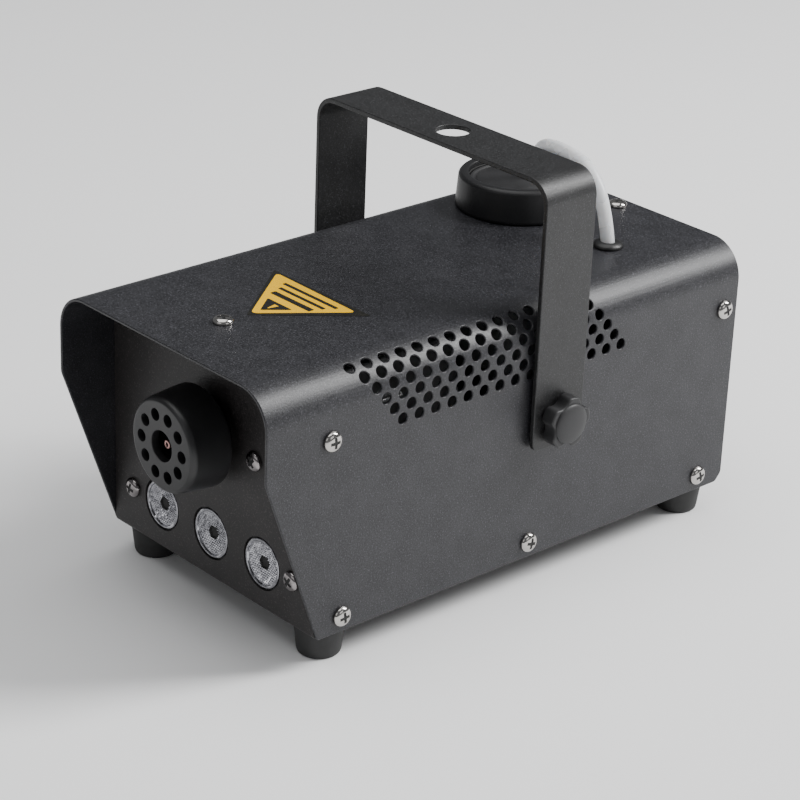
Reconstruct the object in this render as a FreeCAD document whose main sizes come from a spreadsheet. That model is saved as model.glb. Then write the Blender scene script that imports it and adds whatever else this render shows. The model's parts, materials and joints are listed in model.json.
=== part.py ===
"""Compact stage fog machine: a folded steel case with a heater, pump and fluid tank inside.

Frame: millimetres, +Z up, the nozzle faces -Y. The origin lies on the floor, under the middle of
the machine's footprint.
"""
import FreeCAD, Part
import math
import os
import Sketcher
from FreeCAD import Placement, Rotation, Vector

os.makedirs("parts", exist_ok=True)
doc = FreeCAD.newDocument("fog_machine")

# ---------------------------------------------------------------- driving dimensions

DIMENSIONS = (
    # case
    ("cover_width", 120.0),
    ("cover_length", 236.0),
    ("cover_height", 101.0),
    ("cover_bend", 14.5),       # outer radius of the two long top edges
    ("cover_gauge", 1.2),       # sheet thickness of cover and chassis
    ("hood_depth", 23.4),       # the cover reaches this far in front of the front wall
    ("hood_knee", 68.2),        # height above the cover's lower edge where the side slants back
    ("hood_toe", 1.2),          # the slanted side ends this far behind the front wall's face
    ("rear_inset", 1.6),        # the rear wall stands this far inside the cover's rear edge
    ("rear_fittings", 6.8),     # what stands out behind the cover's rear edge
    ("slip", 0.1),              # gap between the cover and the chassis inside it
    ("flange", 14.0),           # depth of the chassis flanges
    # vents
    ("vent_r", 2.15),
    ("vent_pitch", 7.82),
    ("vent_first", 18.1),       # first hole of the top row, behind the front wall
    ("vent_stagger", 3.98),     # each lower row starts this much further back
    ("vent_top", 14.48),        # top row's height above the bend's lower end, along the sheet
    ("vent_drop", 4.93),        # distance from row to row, along the sheet
    # screws
    ("screw_r", 1.95),
    ("screw_hole_r", 2.1),
    ("screw_head_r", 3.9),
    ("screw_head_rise", 2.3),
    # nozzle, heater
    ("nozzle_z", 60.2),         # nozzle axis above the cover's lower edge
    ("cap_r", 19.3),            # guard's rear rim
    ("cap_front_r", 18.2),
    ("cap_length", 22.3),
    ("cap_back", 5.6),          # gap between the front wall and the guard's rear rim
    ("cap_neck_r", 11.5),
    ("cap_wall", 2.6),
    ("heater_width", 46.0),
    ("heater_length", 74.0),
    ("heater_height", 40.0),
    # front lamps
    ("lens_z", 18.4),
    ("lens_pitch", 29.5),
    ("lens_r", 9.5),
    ("lens_hole_r", 10.2),
    # yoke
    ("pivot_y", 112.5),         # pivot behind the front wall's face
    ("pivot_z", 57.0),
    ("yoke_inner", 61.5),       # from the middle plane to the arm's inner face
    ("yoke_gauge", 2.0),
    ("yoke_width", 25.0),
    ("yoke_top", 151.0),        # strap's upper face above the cover's lower edge
    ("yoke_bend", 9.5),
    ("yoke_tail", 11.0),        # the arm reaches this far below the pivot
    ("hang_hole_r", 6.5),
    ("knob_r", 10.1),
    ("knob_thick", 5.8),
    ("stud_r", 3.0),
    # fluid system
    ("tank_x", -24.5),
    ("tank_y", 172.8),
    ("collar_r", 24.8),
    ("collar_top_r", 23.7),
    ("collar_height", 13.6),
    ("neck_r", 21.0),
    ("tube_r", 2.75),
    ("grommet_x", 29.4),
    ("grommet_y", 169.4),
    ("pump_x", 30.0),
    ("pump_z", 26.0),
    # feet
    ("foot_height", 12.0),
    ("foot_top_r", 9.45),
    ("foot_r", 8.0),
    ("foot_x", 48.6),
)

sheet = doc.addObject("Spreadsheet::Sheet", "dims")
for row, (alias, number) in enumerate(DIMENSIONS, start=1):
    sheet.set(f"A{row}", alias)
    sheet.set(f"B{row}", str(number))
    sheet.setAlias(f"B{row}", alias)
doc.recompute()


class Size:
    """A length that carries both its number and its spreadsheet expression."""

    def __init__(self, number, text=None):
        self.number = float(number)
        self.text = text or f"{self.number:.6g}"

    def __add__(self, other):
        other = size(other)
        return Size(self.number + other.number, f"({self.text} + {other.text})")

    def __radd__(self, other):
        return size(other) + self

    def __sub__(self, other):
        other = size(other)
        return Size(self.number - other.number, f"({self.text} - {other.text})")

    def __rsub__(self, other):
        return size(other) - self

    def __mul__(self, other):
        other = size(other)
        return Size(self.number * other.number, f"({self.text} * {other.text})")

    __rmul__ = __mul__

    def __truediv__(self, other):
        other = size(other)
        return Size(self.number / other.number, f"({self.text} / {other.text})")

    def __neg__(self):
        return Size(-self.number, f"(0 - {self.text})")


def size(value):
    return value if isinstance(value, Size) else Size(value)


D = {alias: Size(number, f"dims.{alias}") for alias, number in DIMENSIONS}

# Places that many pieces share. "front" is the front wall's outer face, "base" the cover's
# lower edge, and heights and depths above are counted from those two.
front = -(D["cover_length"] + D["rear_fittings"]) / 2 + D["hood_depth"]
base = D["foot_height"]
hood = front - D["hood_depth"]
tail = hood + D["cover_length"]
roof = base + D["cover_height"]
side = D["cover_width"] / 2
inside = side - D["cover_gauge"] - D["slip"]
rear = tail - D["rear_inset"]
gauge = D["cover_gauge"]
floor = base + D["slip"] + gauge
axis_z = base + D["nozzle_z"]
lens_z = base + D["lens_z"]
pivot_y = front + D["pivot_y"]
pivot_z = base + D["pivot_z"]
tank_x = D["tank_x"]
tank_y = front + D["tank_y"]

X_AXIS = Vector(1, 0, 0)
Y_AXIS = Vector(0, 1, 0)
Z_AXIS = Vector(0, 0, 1)
TURNS = {
    "+Z": Rotation(),
    "-Z": Rotation(X_AXIS, 180),
    "+Y": Rotation(X_AXIS, -90),
    "-Y": Rotation(X_AXIS, 90),
    "+X": Rotation(Y_AXIS, 90),
    "-X": Rotation(Y_AXIS, -90),
}
PARTS = []


# ---------------------------------------------------------------- helpers

def bind(item, prop, value):
    item.setExpression(prop, size(value).text)


def place(item, x, y, z, turn="+Z"):
    spots = [size(x), size(y), size(z)]
    item.Placement = Placement(Vector(*[s.number for s in spots]), TURNS[turn])
    for axis, spot in zip("xyz", spots):
        bind(item, f".Placement.Base.{axis}", spot)
    return item


def part(label, item):
    """Give a finished sub-part the name that its file gets."""
    item.Label = label
    PARTS.append(item)
    return item


def box(low, spans, name="block"):
    item = doc.addObject("Part::Box", name)
    for prop, span in zip(("Length", "Width", "Height"), spans):
        bind(item, prop, span)
    return place(item, *low)


def rod(radius, length, spot, turn="+Z", name="rod"):
    item = doc.addObject("Part::Cylinder", name)
    bind(item, "Radius", radius)
    bind(item, "Height", length)
    return place(item, *spot, turn)


def cone(start_r, end_r, length, spot, turn="+Z", name="cone"):
    item = doc.addObject("Part::Cone", name)
    bind(item, "Radius1", start_r)
    bind(item, "Radius2", end_r)
    bind(item, "Height", length)
    return place(item, *spot, turn)


def hex_bar(radius, length, spot, turn="+Z"):
    item = doc.addObject("Part::Prism", "hexagon")
    item.Polygon = 6
    bind(item, "Circumradius", radius)
    bind(item, "Height", length)
    return place(item, *spot, turn)


def joined(items, name="joined"):
    item = doc.addObject("Part::MultiFuse", name)
    item.Shapes = items
    return item


def group(items, name="group"):
    item = doc.addObject("Part::Compound", name)
    item.Links = items
    return item


def cut(stock, tools, name="cut"):
    item = doc.addObject("Part::Cut", name)
    item.Base = stock
    item.Tool = tools[0] if len(tools) == 1 else group(tools, "tools")
    return item


def tube(outer_r, inner_r, length, spot, turn="+Z", name="tube"):
    return cut(rod(outer_r, length, spot, turn), [rod(inner_r, length, spot, turn)], name)


def rounded(item, radius, chosen):
    """Round the edges of a shape for which chosen(edge) is true."""
    doc.recompute()
    soft = doc.addObject("Part::Fillet", "rounded")
    soft.Base = item
    picks = [n for n, edge in enumerate(item.Shape.Edges, start=1) if chosen(edge)]
    soft.Edges = [(n, radius, radius) for n in picks]
    return soft


def runs_along(edge, axis):
    """True for a straight edge parallel to the axis."""
    straight = isinstance(edge.Curve, Part.Line)
    return straight and abs(edge.tangentAt(edge.FirstParameter).dot(axis)) > 0.999


def along_y(edge):
    return runs_along(edge, Y_AXIS)


def new_body(name):
    return doc.addObject("PartDesign::Body", name)


def origin_item(body, role):
    return next(item for item in body.Origin.OriginFeatures if item.Role == role)


def sketch_on(body, role, offset=0, name="outline"):
    """A sketch on one of the body's origin planes, moved along the plane's normal."""
    sketch = body.newObject("Sketcher::SketchObject", name)
    sketch.AttachmentSupport = [(origin_item(body, role), "")]
    sketch.MapMode = "FlatFace"
    sketch.AttachmentOffset = Placement(Vector(0, 0, size(offset).number), Rotation())
    bind(sketch, ".AttachmentOffset.Base.z", offset)
    return sketch


def pin_point(sketch, geometry, end, x, y):
    """Fix a sketch point at x and y from the sketch's origin."""
    for kind, spot in (("DistanceX", size(x)), ("DistanceY", size(y))):
        index = sketch.addConstraint(Sketcher.Constraint(kind, -1, 1, geometry, end, spot.number))
        sketch.setExpression(f"Constraints[{index}]", spot.text)


def polygon(sketch, corners):
    corners = [(size(x), size(y)) for x, y in corners]
    spots = [Vector(x.number, y.number, 0) for x, y in corners]
    first = sketch.GeometryCount
    count = len(corners)
    for n in range(count):
        sketch.addGeometry(Part.LineSegment(spots[n], spots[(n + 1) % count]), False)
    for n in range(count):
        following = first + (n + 1) % count
        sketch.addConstraint(Sketcher.Constraint("Coincident", first + n, 2, following, 1))
        pin_point(sketch, first + n, 1, *corners[n])


def rounded_outline(sketch, corners):
    """A closed outline of level and upright lines. A corner (x, y, radius) is rounded."""
    count = len(corners)
    knots = []
    for n, corner in enumerate(corners):
        x, y = size(corner[0]), size(corner[1])
        if len(corner) == 2:
            knots.append([(x, y)])
            continue
        radius = size(corner[2])
        ends = []
        for other in (corners[n - 1], corners[(n + 1) % count]):
            dx = size(other[0]).number - x.number
            dy = size(other[1]).number - y.number
            if abs(dx) > abs(dy):
                ends.append((x + radius * math.copysign(1, dx), y))
            else:
                ends.append((x, y + radius * math.copysign(1, dy)))
        center = (ends[0][0] + ends[1][0] - x, ends[0][1] + ends[1][1] - y)
        knots.append([ends[0], ends[1], center, radius])
    for n, knot in enumerate(knots):
        if len(knot) == 4:
            add_corner_arc(sketch, knot)
        leave = knot[1] if len(knot) == 4 else knot[0]
        arrive = knots[(n + 1) % count][0]
        line = Part.LineSegment(Vector(leave[0].number, leave[1].number, 0),
                                Vector(arrive[0].number, arrive[1].number, 0))
        index = sketch.addGeometry(line, False)
        pin_point(sketch, index, 1, *leave)
        pin_point(sketch, index, 2, *arrive)


def add_corner_arc(sketch, knot):
    """A quarter arc from knot[0] to knot[1] about knot[2]."""
    start, end, center = [Vector(p[0].number, p[1].number, 0) for p in knot[:3]]
    radius = knot[3].number
    middle = center + ((start + end) / 2 - center).normalize() * radius
    index = sketch.addGeometry(Part.Arc(start, middle, end), False)
    first, last = (1, 2) if (sketch.getPoint(index, 1) - start).Length < 1e-6 else (2, 1)
    pin_point(sketch, index, first, *knot[0])
    pin_point(sketch, index, last, *knot[1])
    fixed = sketch.addConstraint(Sketcher.Constraint("DistanceX", -1, 1, index, 3, center.x))
    sketch.setExpression(f"Constraints[{fixed}]", knot[2][0].text)


def circle(sketch, x, y, radius):
    x, y, radius = size(x), size(y), size(radius)
    index = sketch.addGeometry(
        Part.Circle(Vector(x.number, y.number, 0), Z_AXIS, radius.number), False
    )
    pin_point(sketch, index, 3, x, y)
    fixed = sketch.addConstraint(Sketcher.Constraint("Radius", index, radius.number))
    sketch.setExpression(f"Constraints[{fixed}]", radius.text)


def rectangle(sketch, low, high):
    polygon(sketch, [low, (high[0], low[1]), high, (low[0], high[1])])


def pad(body, sketch, length, both=False, reverse=False):
    feature = body.newObject("PartDesign::Pad", "pad")
    feature.Profile = sketch
    feature.AllowMultiFace = True
    bind(feature, "Length", length)
    feature.SideType = "Symmetric" if both else "One side"
    feature.Reversed = reverse
    doc.recompute()
    return feature


def pocket(body, sketch, length=None, both=False, reverse=False):
    """Cut the sketch out of the body, and stop if nothing was cut away."""
    doc.recompute()
    before = body.Shape.Volume
    feature = body.newObject("PartDesign::Pocket", "pocket")
    feature.Profile = sketch
    feature.AllowMultiFace = True
    if length is None:
        feature.Type = "ThroughAll"
    else:
        bind(feature, "Length", length)
    feature.SideType = "Symmetric" if both else "One side"
    feature.Reversed = reverse
    doc.recompute()
    if body.Shape.Volume > before - 0.01:
        raise RuntimeError(f"{body.Name}: {sketch.Name} cuts nothing")
    return feature


def revolution(body, sketch, axis="V_Axis"):
    feature = body.newObject("PartDesign::Revolution", "revolution")
    feature.Profile = sketch
    feature.ReferenceAxis = (sketch, [axis])
    feature.Angle = 360
    doc.recompute()
    return feature


def fillet(body, radius, chosen):
    doc.recompute()
    last = body.Tip
    names = [f"Edge{n}" for n, edge in enumerate(last.Shape.Edges, start=1) if chosen(edge)]
    feature = body.newObject("PartDesign::Fillet", "fillet")
    feature.Base = (last, names)
    bind(feature, "Radius", radius)
    doc.recompute()
    return feature


def mirrored(body, features, role="YZ_Plane"):
    feature = body.newObject("PartDesign::Mirrored", "mirrored")
    feature.Originals = features
    feature.MirrorPlane = (origin_item(body, role), [""])
    body.Tip = feature
    doc.recompute()
    return feature


def polar(body, features, count, role="Z_Axis"):
    feature = body.newObject("PartDesign::PolarPattern", "polar")
    feature.Originals = features
    feature.Axis = (origin_item(body, role), [""])
    feature.Angle = 360
    feature.Occurrences = count
    body.Tip = feature
    doc.recompute()
    return feature


def turned(name, outline, turn, spot):
    """A turned piece: outline is (radius, height) around the piece's own Z axis."""
    body = new_body(name)
    sketch = sketch_on(body, "XZ_Plane")
    polygon(sketch, outline)
    revolution(body, sketch)
    return place(body, *spot, turn)


# ---------------------------------------------------------------- places of the fasteners

# On each side wall: depth behind the front wall, height above the cover's lower edge.
SIDE_SCREWS = ((5.4, 76.9), (12.0, 6.5), (104.2, 6.5), (197.8, 6.5), (205.1, 76.0))
TOP_SCREWS = (5.0, 205.1)
LAMP_SCREWS = ((-46.8, 18.9), (46.8, 18.9))
CAP_SCREWS = ((-25.2, 57.6), (25.2, 57.6))
FEET = ((-1, 11.6), (1, 11.6), (-1, 200.0), (1, 200.0))
VENT_ROWS = 6
VENT_HOLES = 15


# ---------------------------------------------------------------- case

def make_top_cover():
    body = new_body("top_cover")
    bend = D["cover_bend"]
    outline = sketch_on(body, "XZ_Plane", -tail)
    rounded_outline(outline, [
        (-side, base), (-side, roof, bend), (side, roof, bend), (side, base),
        (side - gauge, base), (side - gauge, roof - gauge, bend - gauge),
        (gauge - side, roof - gauge, bend - gauge), (gauge - side, base)])
    pad(body, outline, D["cover_length"])
    # the sides slant back under the hood, and their rear corners are clipped
    profile = sketch_on(body, "YZ_Plane", 0, "side_profile")
    toe = front + D["hood_toe"]
    polygon(profile, [(hood - 5, base - 1), (toe, base - 1), (toe, base),
                      (hood, base + D["hood_knee"]), (hood - 5, base + D["hood_knee"])])
    polygon(profile, [(tail - 3, base - 1), (tail + 5, base - 1), (tail + 5, base + 3.5),
                      (tail, base + 3.5), (tail - 3, base)])
    pocket(body, profile, D["cover_width"] + 10, both=True)
    # screw holes and pivot holes go through both sides
    holes = sketch_on(body, "YZ_Plane", 0, "side_holes")
    for depth, height in SIDE_SCREWS:
        circle(holes, front + depth, base + height, D["screw_hole_r"])
    circle(holes, pivot_y, pivot_z, 4.05)
    pocket(body, holes, D["cover_width"] + 10, both=True)
    top = sketch_on(body, "XY_Plane", roof + 1, "top_holes")
    for depth in TOP_SCREWS:
        circle(top, 0, front + depth, D["screw_hole_r"])
    circle(top, D["grommet_x"], front + D["grommet_y"], 4.55)
    circle(top, tank_x, tank_y, D["neck_r"] + 1.6)
    pocket(body, top, 8)
    # vents: the upper rows lie on the bend, so each row has its own tilted plane
    rows = []
    for row in range(VENT_ROWS):
        along = D["vent_top"] - D["vent_drop"] * row
        climb = max(along.number, 0.0) / D["cover_bend"].number
        bend_x = side - D["cover_bend"]
        bend_z = roof - D["cover_bend"]
        reach = D["cover_bend"] + 1
        plane = sketch_on(body, "YZ_Plane", 0, "vent_row")
        angle = math.degrees(climb)
        plane.AttachmentOffset = Placement(Vector(), Rotation(X_AXIS, -angle))
        low = along if along.number < 0 else size(0)
        bind(plane, ".AttachmentOffset.Base.z", bend_x + reach * math.cos(climb))
        bind(plane, ".AttachmentOffset.Base.y", bend_z + reach * math.sin(climb) + low)
        for n in range(VENT_HOLES):
            y = front + D["vent_first"] + D["vent_stagger"] * row + D["vent_pitch"] * n
            circle(plane, y, 0, D["vent_r"])
        rows.append(pocket(body, plane, 5))
    mirrored(body, rows)
    part("top_cover", body)


def make_chassis():
    """One folded sheet: front wall, floor and rear wall, with flanges that take the screws."""
    body = new_body("chassis")
    profile = sketch_on(body, "YZ_Plane", 0, "fold")
    top = roof - gauge - D["slip"]
    low = base + D["slip"]
    rectangle(profile, (front, low), (rear, top))
    pad(body, profile, inside * 2, both=True)
    top_z = top.number - 0.1
    low_z = low.number + 0.1
    fillet(body, D["cover_bend"] - gauge, lambda e: runs_along(e, Y_AXIS) and e.CenterOfMass.z > top_z)
    fillet(body, 2, lambda e: runs_along(e, X_AXIS) and e.CenterOfMass.z < low_z)
    # the space between the walls, open at the top and at both sides
    room = sketch_on(body, "YZ_Plane", 0, "room")
    rectangle(room, (front + gauge, floor), (rear - gauge, roof + 1))
    pocket(body, room, D["cover_width"] + 10, both=True)
    # side flanges of the floor and of the two walls
    for low_y, high_y, low_z, high_z in (
        (front + 4, rear - 4, floor - 0.5, floor + D["flange"] - 2),
        (front + 0.6, front + D["flange"], base + 60, roof - 20),
        (rear - D["flange"], rear - 0.6, base + 60, roof - 20),
    ):
        flange = sketch_on(body, "YZ_Plane", inside, "side_flange")
        rectangle(flange, (low_y, low_z), (high_y, high_z))
        first = pad(body, flange, gauge, reverse=True)
        mirrored(body, [first])
    # top flanges, one on each wall
    for low_y, high_y in ((front + 0.6, front + D["flange"]), (rear - D["flange"], rear - 0.6)):
        lip = sketch_on(body, "XY_Plane", top, "top_flange")
        rectangle(lip, (-30, low_y), (30, high_y))
        pad(body, lip, gauge, reverse=True)
    # openings of the front wall
    face = sketch_on(body, "XZ_Plane", -front + 1, "front_holes")
    for n in (-1, 0, 1):
        circle(face, D["lens_pitch"] * n, lens_z, D["lens_hole_r"])
    circle(face, 0, axis_z, D["cap_neck_r"] + 0.2)
    for x, height in LAMP_SCREWS + CAP_SCREWS:
        circle(face, x, base + height, D["screw_hole_r"])
    pocket(body, face, 6)
    # openings of the rear wall
    back = sketch_on(body, "XZ_Plane", -(rear + 1), "rear_holes")
    rectangle(back, (INLET_X - 14, INLET_Z - 10.4), (INLET_X + 14, INLET_Z + 10.4))
    rectangle(back, (SWITCH_X - 6.7, SWITCH_Z - 9.9), (SWITCH_X + 6.7, SWITCH_Z + 9.9))
    circle(back, INLET_X - 20, INLET_Z, 1.7)
    circle(back, INLET_X + 20, INLET_Z, 1.7)
    circle(back, SOCKET_X, SOCKET_Z, 6.1)
    circle(back, LAMP_X, LAMP_Z, 3.1)
    pocket(body, back, 6, reverse=True)
    # holes in the flanges and the floor
    sides = sketch_on(body, "YZ_Plane", 0, "flange_holes")
    for depth, height in SIDE_SCREWS:
        circle(sides, front + depth, base + height, D["screw_r"] + 0.03)
    pocket(body, sides, D["cover_width"] + 10, both=True)
    lips = sketch_on(body, "XY_Plane", roof + 1, "lip_holes")
    for depth in TOP_SCREWS:
        circle(lips, 0, front + depth, D["screw_r"] + 0.03)
    pocket(body, lips, 6)
    under = sketch_on(body, "XY_Plane", base + 4, "floor_holes")
    for sign, depth in FEET:
        circle(under, D["foot_x"] * sign, front + depth, D["screw_hole_r"])
    pocket(body, under, 8)
    part("chassis", body)


# ---------------------------------------------------------------- rear fittings

INLET_X = 32
INLET_Z = base + 76
SWITCH_X = 18
SWITCH_Z = base + 40
SOCKET_X = -30
SOCKET_Z = base + 36
LAMP_X = -30
LAMP_Z = base + 66


def make_mains_inlet():
    """Three-pin appliance inlet, screwed to the rear wall."""
    flange = box((INLET_X - 24.5, rear, INLET_Z - 12), (49, 2.8, 24))
    flange = rounded(flange, 5, along_y)
    shroud = box((INLET_X - 13.8, rear - 17, INLET_Z - 10.2), (27.6, 18, 20.4))
    shroud = rounded(shroud, 2, along_y)
    mouth = box((INLET_X - 12, rear - 14.5, INLET_Z - 8), (24, 20, 16))
    mouth = rounded(mouth, 1.5, along_y)
    ears = [rod(1.7, 6, (INLET_X + dx, rear - 1, INLET_Z), "+Y") for dx in (-20, 20)]
    ears += [cone(1.55, 3.05, 1.6, (INLET_X + dx, rear + 2.3, INLET_Z), "+Y") for dx in (-20, 20)]
    pins = []
    for dx, dz in ((-7, -2), (0, 2), (7, -2)):
        blade = box((INLET_X + dx - 1, rear - 24, INLET_Z + dz - 2), (2, 21.5, 4))
        pins.append(cut(blade, [rod(0.8, 6, (INLET_X + dx - 2, rear - 21, INLET_Z + dz), "+X")]))
    part("mains_inlet", cut(joined([flange, shroud]), [mouth] + ears + pins, "mains_inlet"))
    part("inlet_pins", group(pins, "inlet_pins"))
    fasteners = []
    for dx in (-20, 20):
        head = cone(1.5, 2.9, 1.4, (INLET_X + dx, rear + 2.4, INLET_Z), "+Y")
        shank = rod(1.45, 11, (INLET_X + dx, rear - 8.2, INLET_Z), "+Y")
        slot = box((INLET_X + dx - 3, rear + 3.2, INLET_Z - 0.35), (6, 2, 0.7))
        fasteners.append(cut(joined([head, shank]), [slot]))
        spot = (INLET_X + dx, rear - gauge - 2.4, INLET_Z)
        fasteners.append(cut(hex_bar(3.1, 2.4, spot, "+Y"), [rod(1.47, 2.4, spot, "+Y")]))
    spot = (SOCKET_X, rear - gauge - 2.5, SOCKET_Z)
    fasteners.append(cut(hex_bar(8.6, 2.5, spot, "+Y"), [rod(6.02, 2.5, spot, "+Y")]))
    part("rear_fasteners", group(fasteners, "rear_fasteners"))


def make_power_switch():
    """Rocker switch: a snap-in housing, a rocker on a level pin, and the contact tabs it returns."""
    bezel = rounded(box((SWITCH_X - 7.5, rear, SWITCH_Z - 10.5), (15, 2, 21)), 1.2, along_y)
    shell = box((SWITCH_X - 6.5, rear - 15, SWITCH_Z - 9.7), (13, 16, 19.4))
    well = box((SWITCH_X - 5, rear - 12, SWITCH_Z - 8.5), (10, 20, 17))
    pin = rod(1.2, 10.6, (SWITCH_X - 5.3, rear - 1.5, SWITCH_Z), "+X")
    housing = joined([cut(joined([bezel, shell]), [well]), pin])
    part("switch_housing", housing)
    # the rocker is drawn level about its pin, then tipped: its lower half stands out, so it is off
    rocker = new_body("switch_rocker")
    outline = sketch_on(rocker, "YZ_Plane", 0, "rocker_side")
    polygon(outline, [(-3, -6.3), (4.4, -6.8), (3, 0), (4.4, 6.8), (-3, 6.3)])
    pad(rocker, outline, 9.4, both=True)
    bore = sketch_on(rocker, "YZ_Plane", 0, "rocker_bore")
    circle(bore, 0, 0, 1.26)
    pocket(rocker, bore, 30, both=True)
    place(rocker, SWITCH_X, rear - 1.5, SWITCH_Z)
    rocker.Placement = Placement(rocker.Placement.Base, Rotation(X_AXIS, 10))
    part("switch_rocker", rocker)
    return [box((SWITCH_X - 2.4, rear - 23, SWITCH_Z + dz - 0.4), (4.8, 7.9, 0.8)) for dz in (-5, 5)]


def make_remote_socket():
    """Round socket for the wired remote, the ready lamp above it, and the socket's pins."""
    reach = D["rear_inset"] + D["rear_fittings"]
    shell = rod(6, reach + 8, (SOCKET_X, rear - 8, SOCKET_Z), "+Y")
    plate = rod(8.5, 2.2, (SOCKET_X, rear, SOCKET_Z), "+Y")
    well = rod(4.4, reach - 1, (SOCKET_X, rear + 1, SOCKET_Z), "+Y")
    key = box((SOCKET_X - 0.8, rear + 1, SOCKET_Z + 3.6), (1.6, reach - 3, 1.5))
    pins = []
    for n in range(3):
        turn = math.radians(90 + 120 * n)
        x = SOCKET_X + 2.3 * math.cos(turn)
        z = SOCKET_Z + 2.3 * math.sin(turn)
        pins.append(rod(0.5, 12, (x, rear - 9.5, z), "+Y"))
    shell = joined([cut(joined([shell, plate]), [well]), key])
    part("remote_socket", cut(shell, pins, "remote_socket"))
    lamp = new_body("ready_lamp")
    outline = sketch_on(lamp, "XZ_Plane", 0, "lamp_outline")
    polygon(outline, [(0, -8), (3, -8), (3, 0), (4.2, 0), (4.2, 1.2), (3, 2.6), (1.5, 3.2),
                      (0, 3.4)])
    revolution(lamp, outline)
    part("ready_lamp", place(lamp, LAMP_X, rear, LAMP_Z, "+Y"))
    return pins


def make_rear_fittings():
    make_mains_inlet()
    contacts = make_power_switch() + make_remote_socket()
    part("contact_pins", group(contacts, "contact_pins"))


# ---------------------------------------------------------------- nozzle and heater

def make_nozzle_cap():
    """Round guard on a short neck: a slightly tapered cup with a ring of holes in its face."""
    rim_r = D["cap_r"]
    front_r = D["cap_front_r"]
    neck_r = D["cap_neck_r"]
    bore_r = neck_r - 3
    inner_r = front_r - D["cap_wall"]
    back = D["cap_back"]
    length = D["cap_length"]
    neck_end = -(gauge + 7)
    body = new_body("nozzle_cap")
    outline = sketch_on(body, "XZ_Plane")
    polygon(outline, [(bore_r, neck_end), (neck_r, neck_end), (neck_r, back), (rim_r - 0.3, back),
                      (rim_r, back + 0.3), (rim_r - 0.1, back + 4), (front_r, length - 2.6),
                      (front_r - 0.6, length - 1.2), (front_r - 1.8, length), (0, length),
                      (0, length - 3), (inner_r - 0.4, length - 3), (inner_r, back + 3),
                      (bore_r, back + 3)])
    revolution(body, outline)
    face = sketch_on(body, "XY_Plane", length + 1, "eye")
    circle(face, 0, 0, 5.8)
    pocket(body, face, 6)
    hole = sketch_on(body, "XY_Plane", length + 1, "vent_hole")
    circle(hole, 11.7, 0, 2.4)
    polar(body, [pocket(body, hole, 6)], 10)
    part("nozzle_cap", place(body, 0, front, axis_z, "-Y"))
    ring = tube(16, neck_r + 0.05, 4, (0, front + gauge, axis_z), "+Y", "cap_ring")
    part("cap_ring_nut", ring)


def make_nozzle():
    """Brass jet that screws into the heater's front face."""
    start = front + 24
    outline = [(0.7, -8), (4, -8), (4, 0), (5, 0), (5, 5), (3.6, 6), (3.6, 37.5), (1.6, 44), (0.7, 44)]
    part("nozzle", turned("nozzle", outline, "-Y", (0, start, axis_z)))


def heater_span():
    """The heater block's lowest corner and its three sizes."""
    low = (-D["heater_width"] / 2, front + 24, axis_z - D["heater_height"] / 2)
    return low, (D["heater_width"], D["heater_length"], D["heater_height"])


def make_heater():
    """Cast aluminium block with ribs, an oil-filled bore and two heating rod ends."""
    low, spans = heater_span()
    block = rounded(box(low, spans), 3, along_y)
    grooves = []
    for n in range(-3, 4):
        for z in (low[2] - 1, low[2] + spans[2] - 3):
            grooves.append(box((n * 5.6 - 1.2, low[1] + 8, z), (2.4, spans[1] - 16, 4)))
    bore = rod(4.02, 8.1, (0, low[1] - 0.1, axis_z), "+Y")
    back = low[1] + spans[1]
    inlet = rod(2.6, 12, (12, back - 12, axis_z), "+Y")
    rods = [rod(3.2, 20, (dx, back - 20, axis_z - 8), "+Y") for dx in (-12, 4)]
    part("heater_block", cut(block, grooves + [bore, inlet] + rods, "heater_block"))
    ends = []
    for dx in (-12, 4):
        sleeve = rod(3.15, 24, (dx, back - 19, axis_z - 8), "+Y")
        pin = rod(1.2, 8, (dx, back + 5, axis_z - 8), "+Y")
        ends.append(joined([sleeve, pin]))
    part("heater_terminals", group(ends, "heater_terminals"))
    # two plates carry the block on insulating strips
    plates = []
    strips = []
    for depth in (34, 88):
        y = front + depth
        height = low[2] - 2.5 - floor
        post = box((-17, y, floor), (34, 1.5, height))
        foot = box((-17, y, floor), (34, 11, 1.5))
        shelf = box((-17, y, floor + height - 1.5), (34, 8, 1.5))
        plates.append(joined([post, foot, shelf]))
        strips.append(box((-17, y, low[2] - 2.5), (34, 8, 2.5)))
    part("heater_brackets", group(plates, "heater_brackets"))
    part("insulating_strips", group(strips, "insulating_strips"))
    # thermostat and thermal fuse sit on the block
    top = low[2] + spans[2]
    disc = turned("thermostat", [(0, 0), (8, 0), (8, 3), (6.6, 4), (6.6, 8), (0, 8)], "+Z",
                  (0, front + 70, top))
    fuse = rod(2, 14, (D["heater_width"] / 2 + 2, front + 54, axis_z + 4), "+Y")
    part("heat_sensors", group([disc, fuse], "heat_sensors"))


# ---------------------------------------------------------------- front lamps

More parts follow.
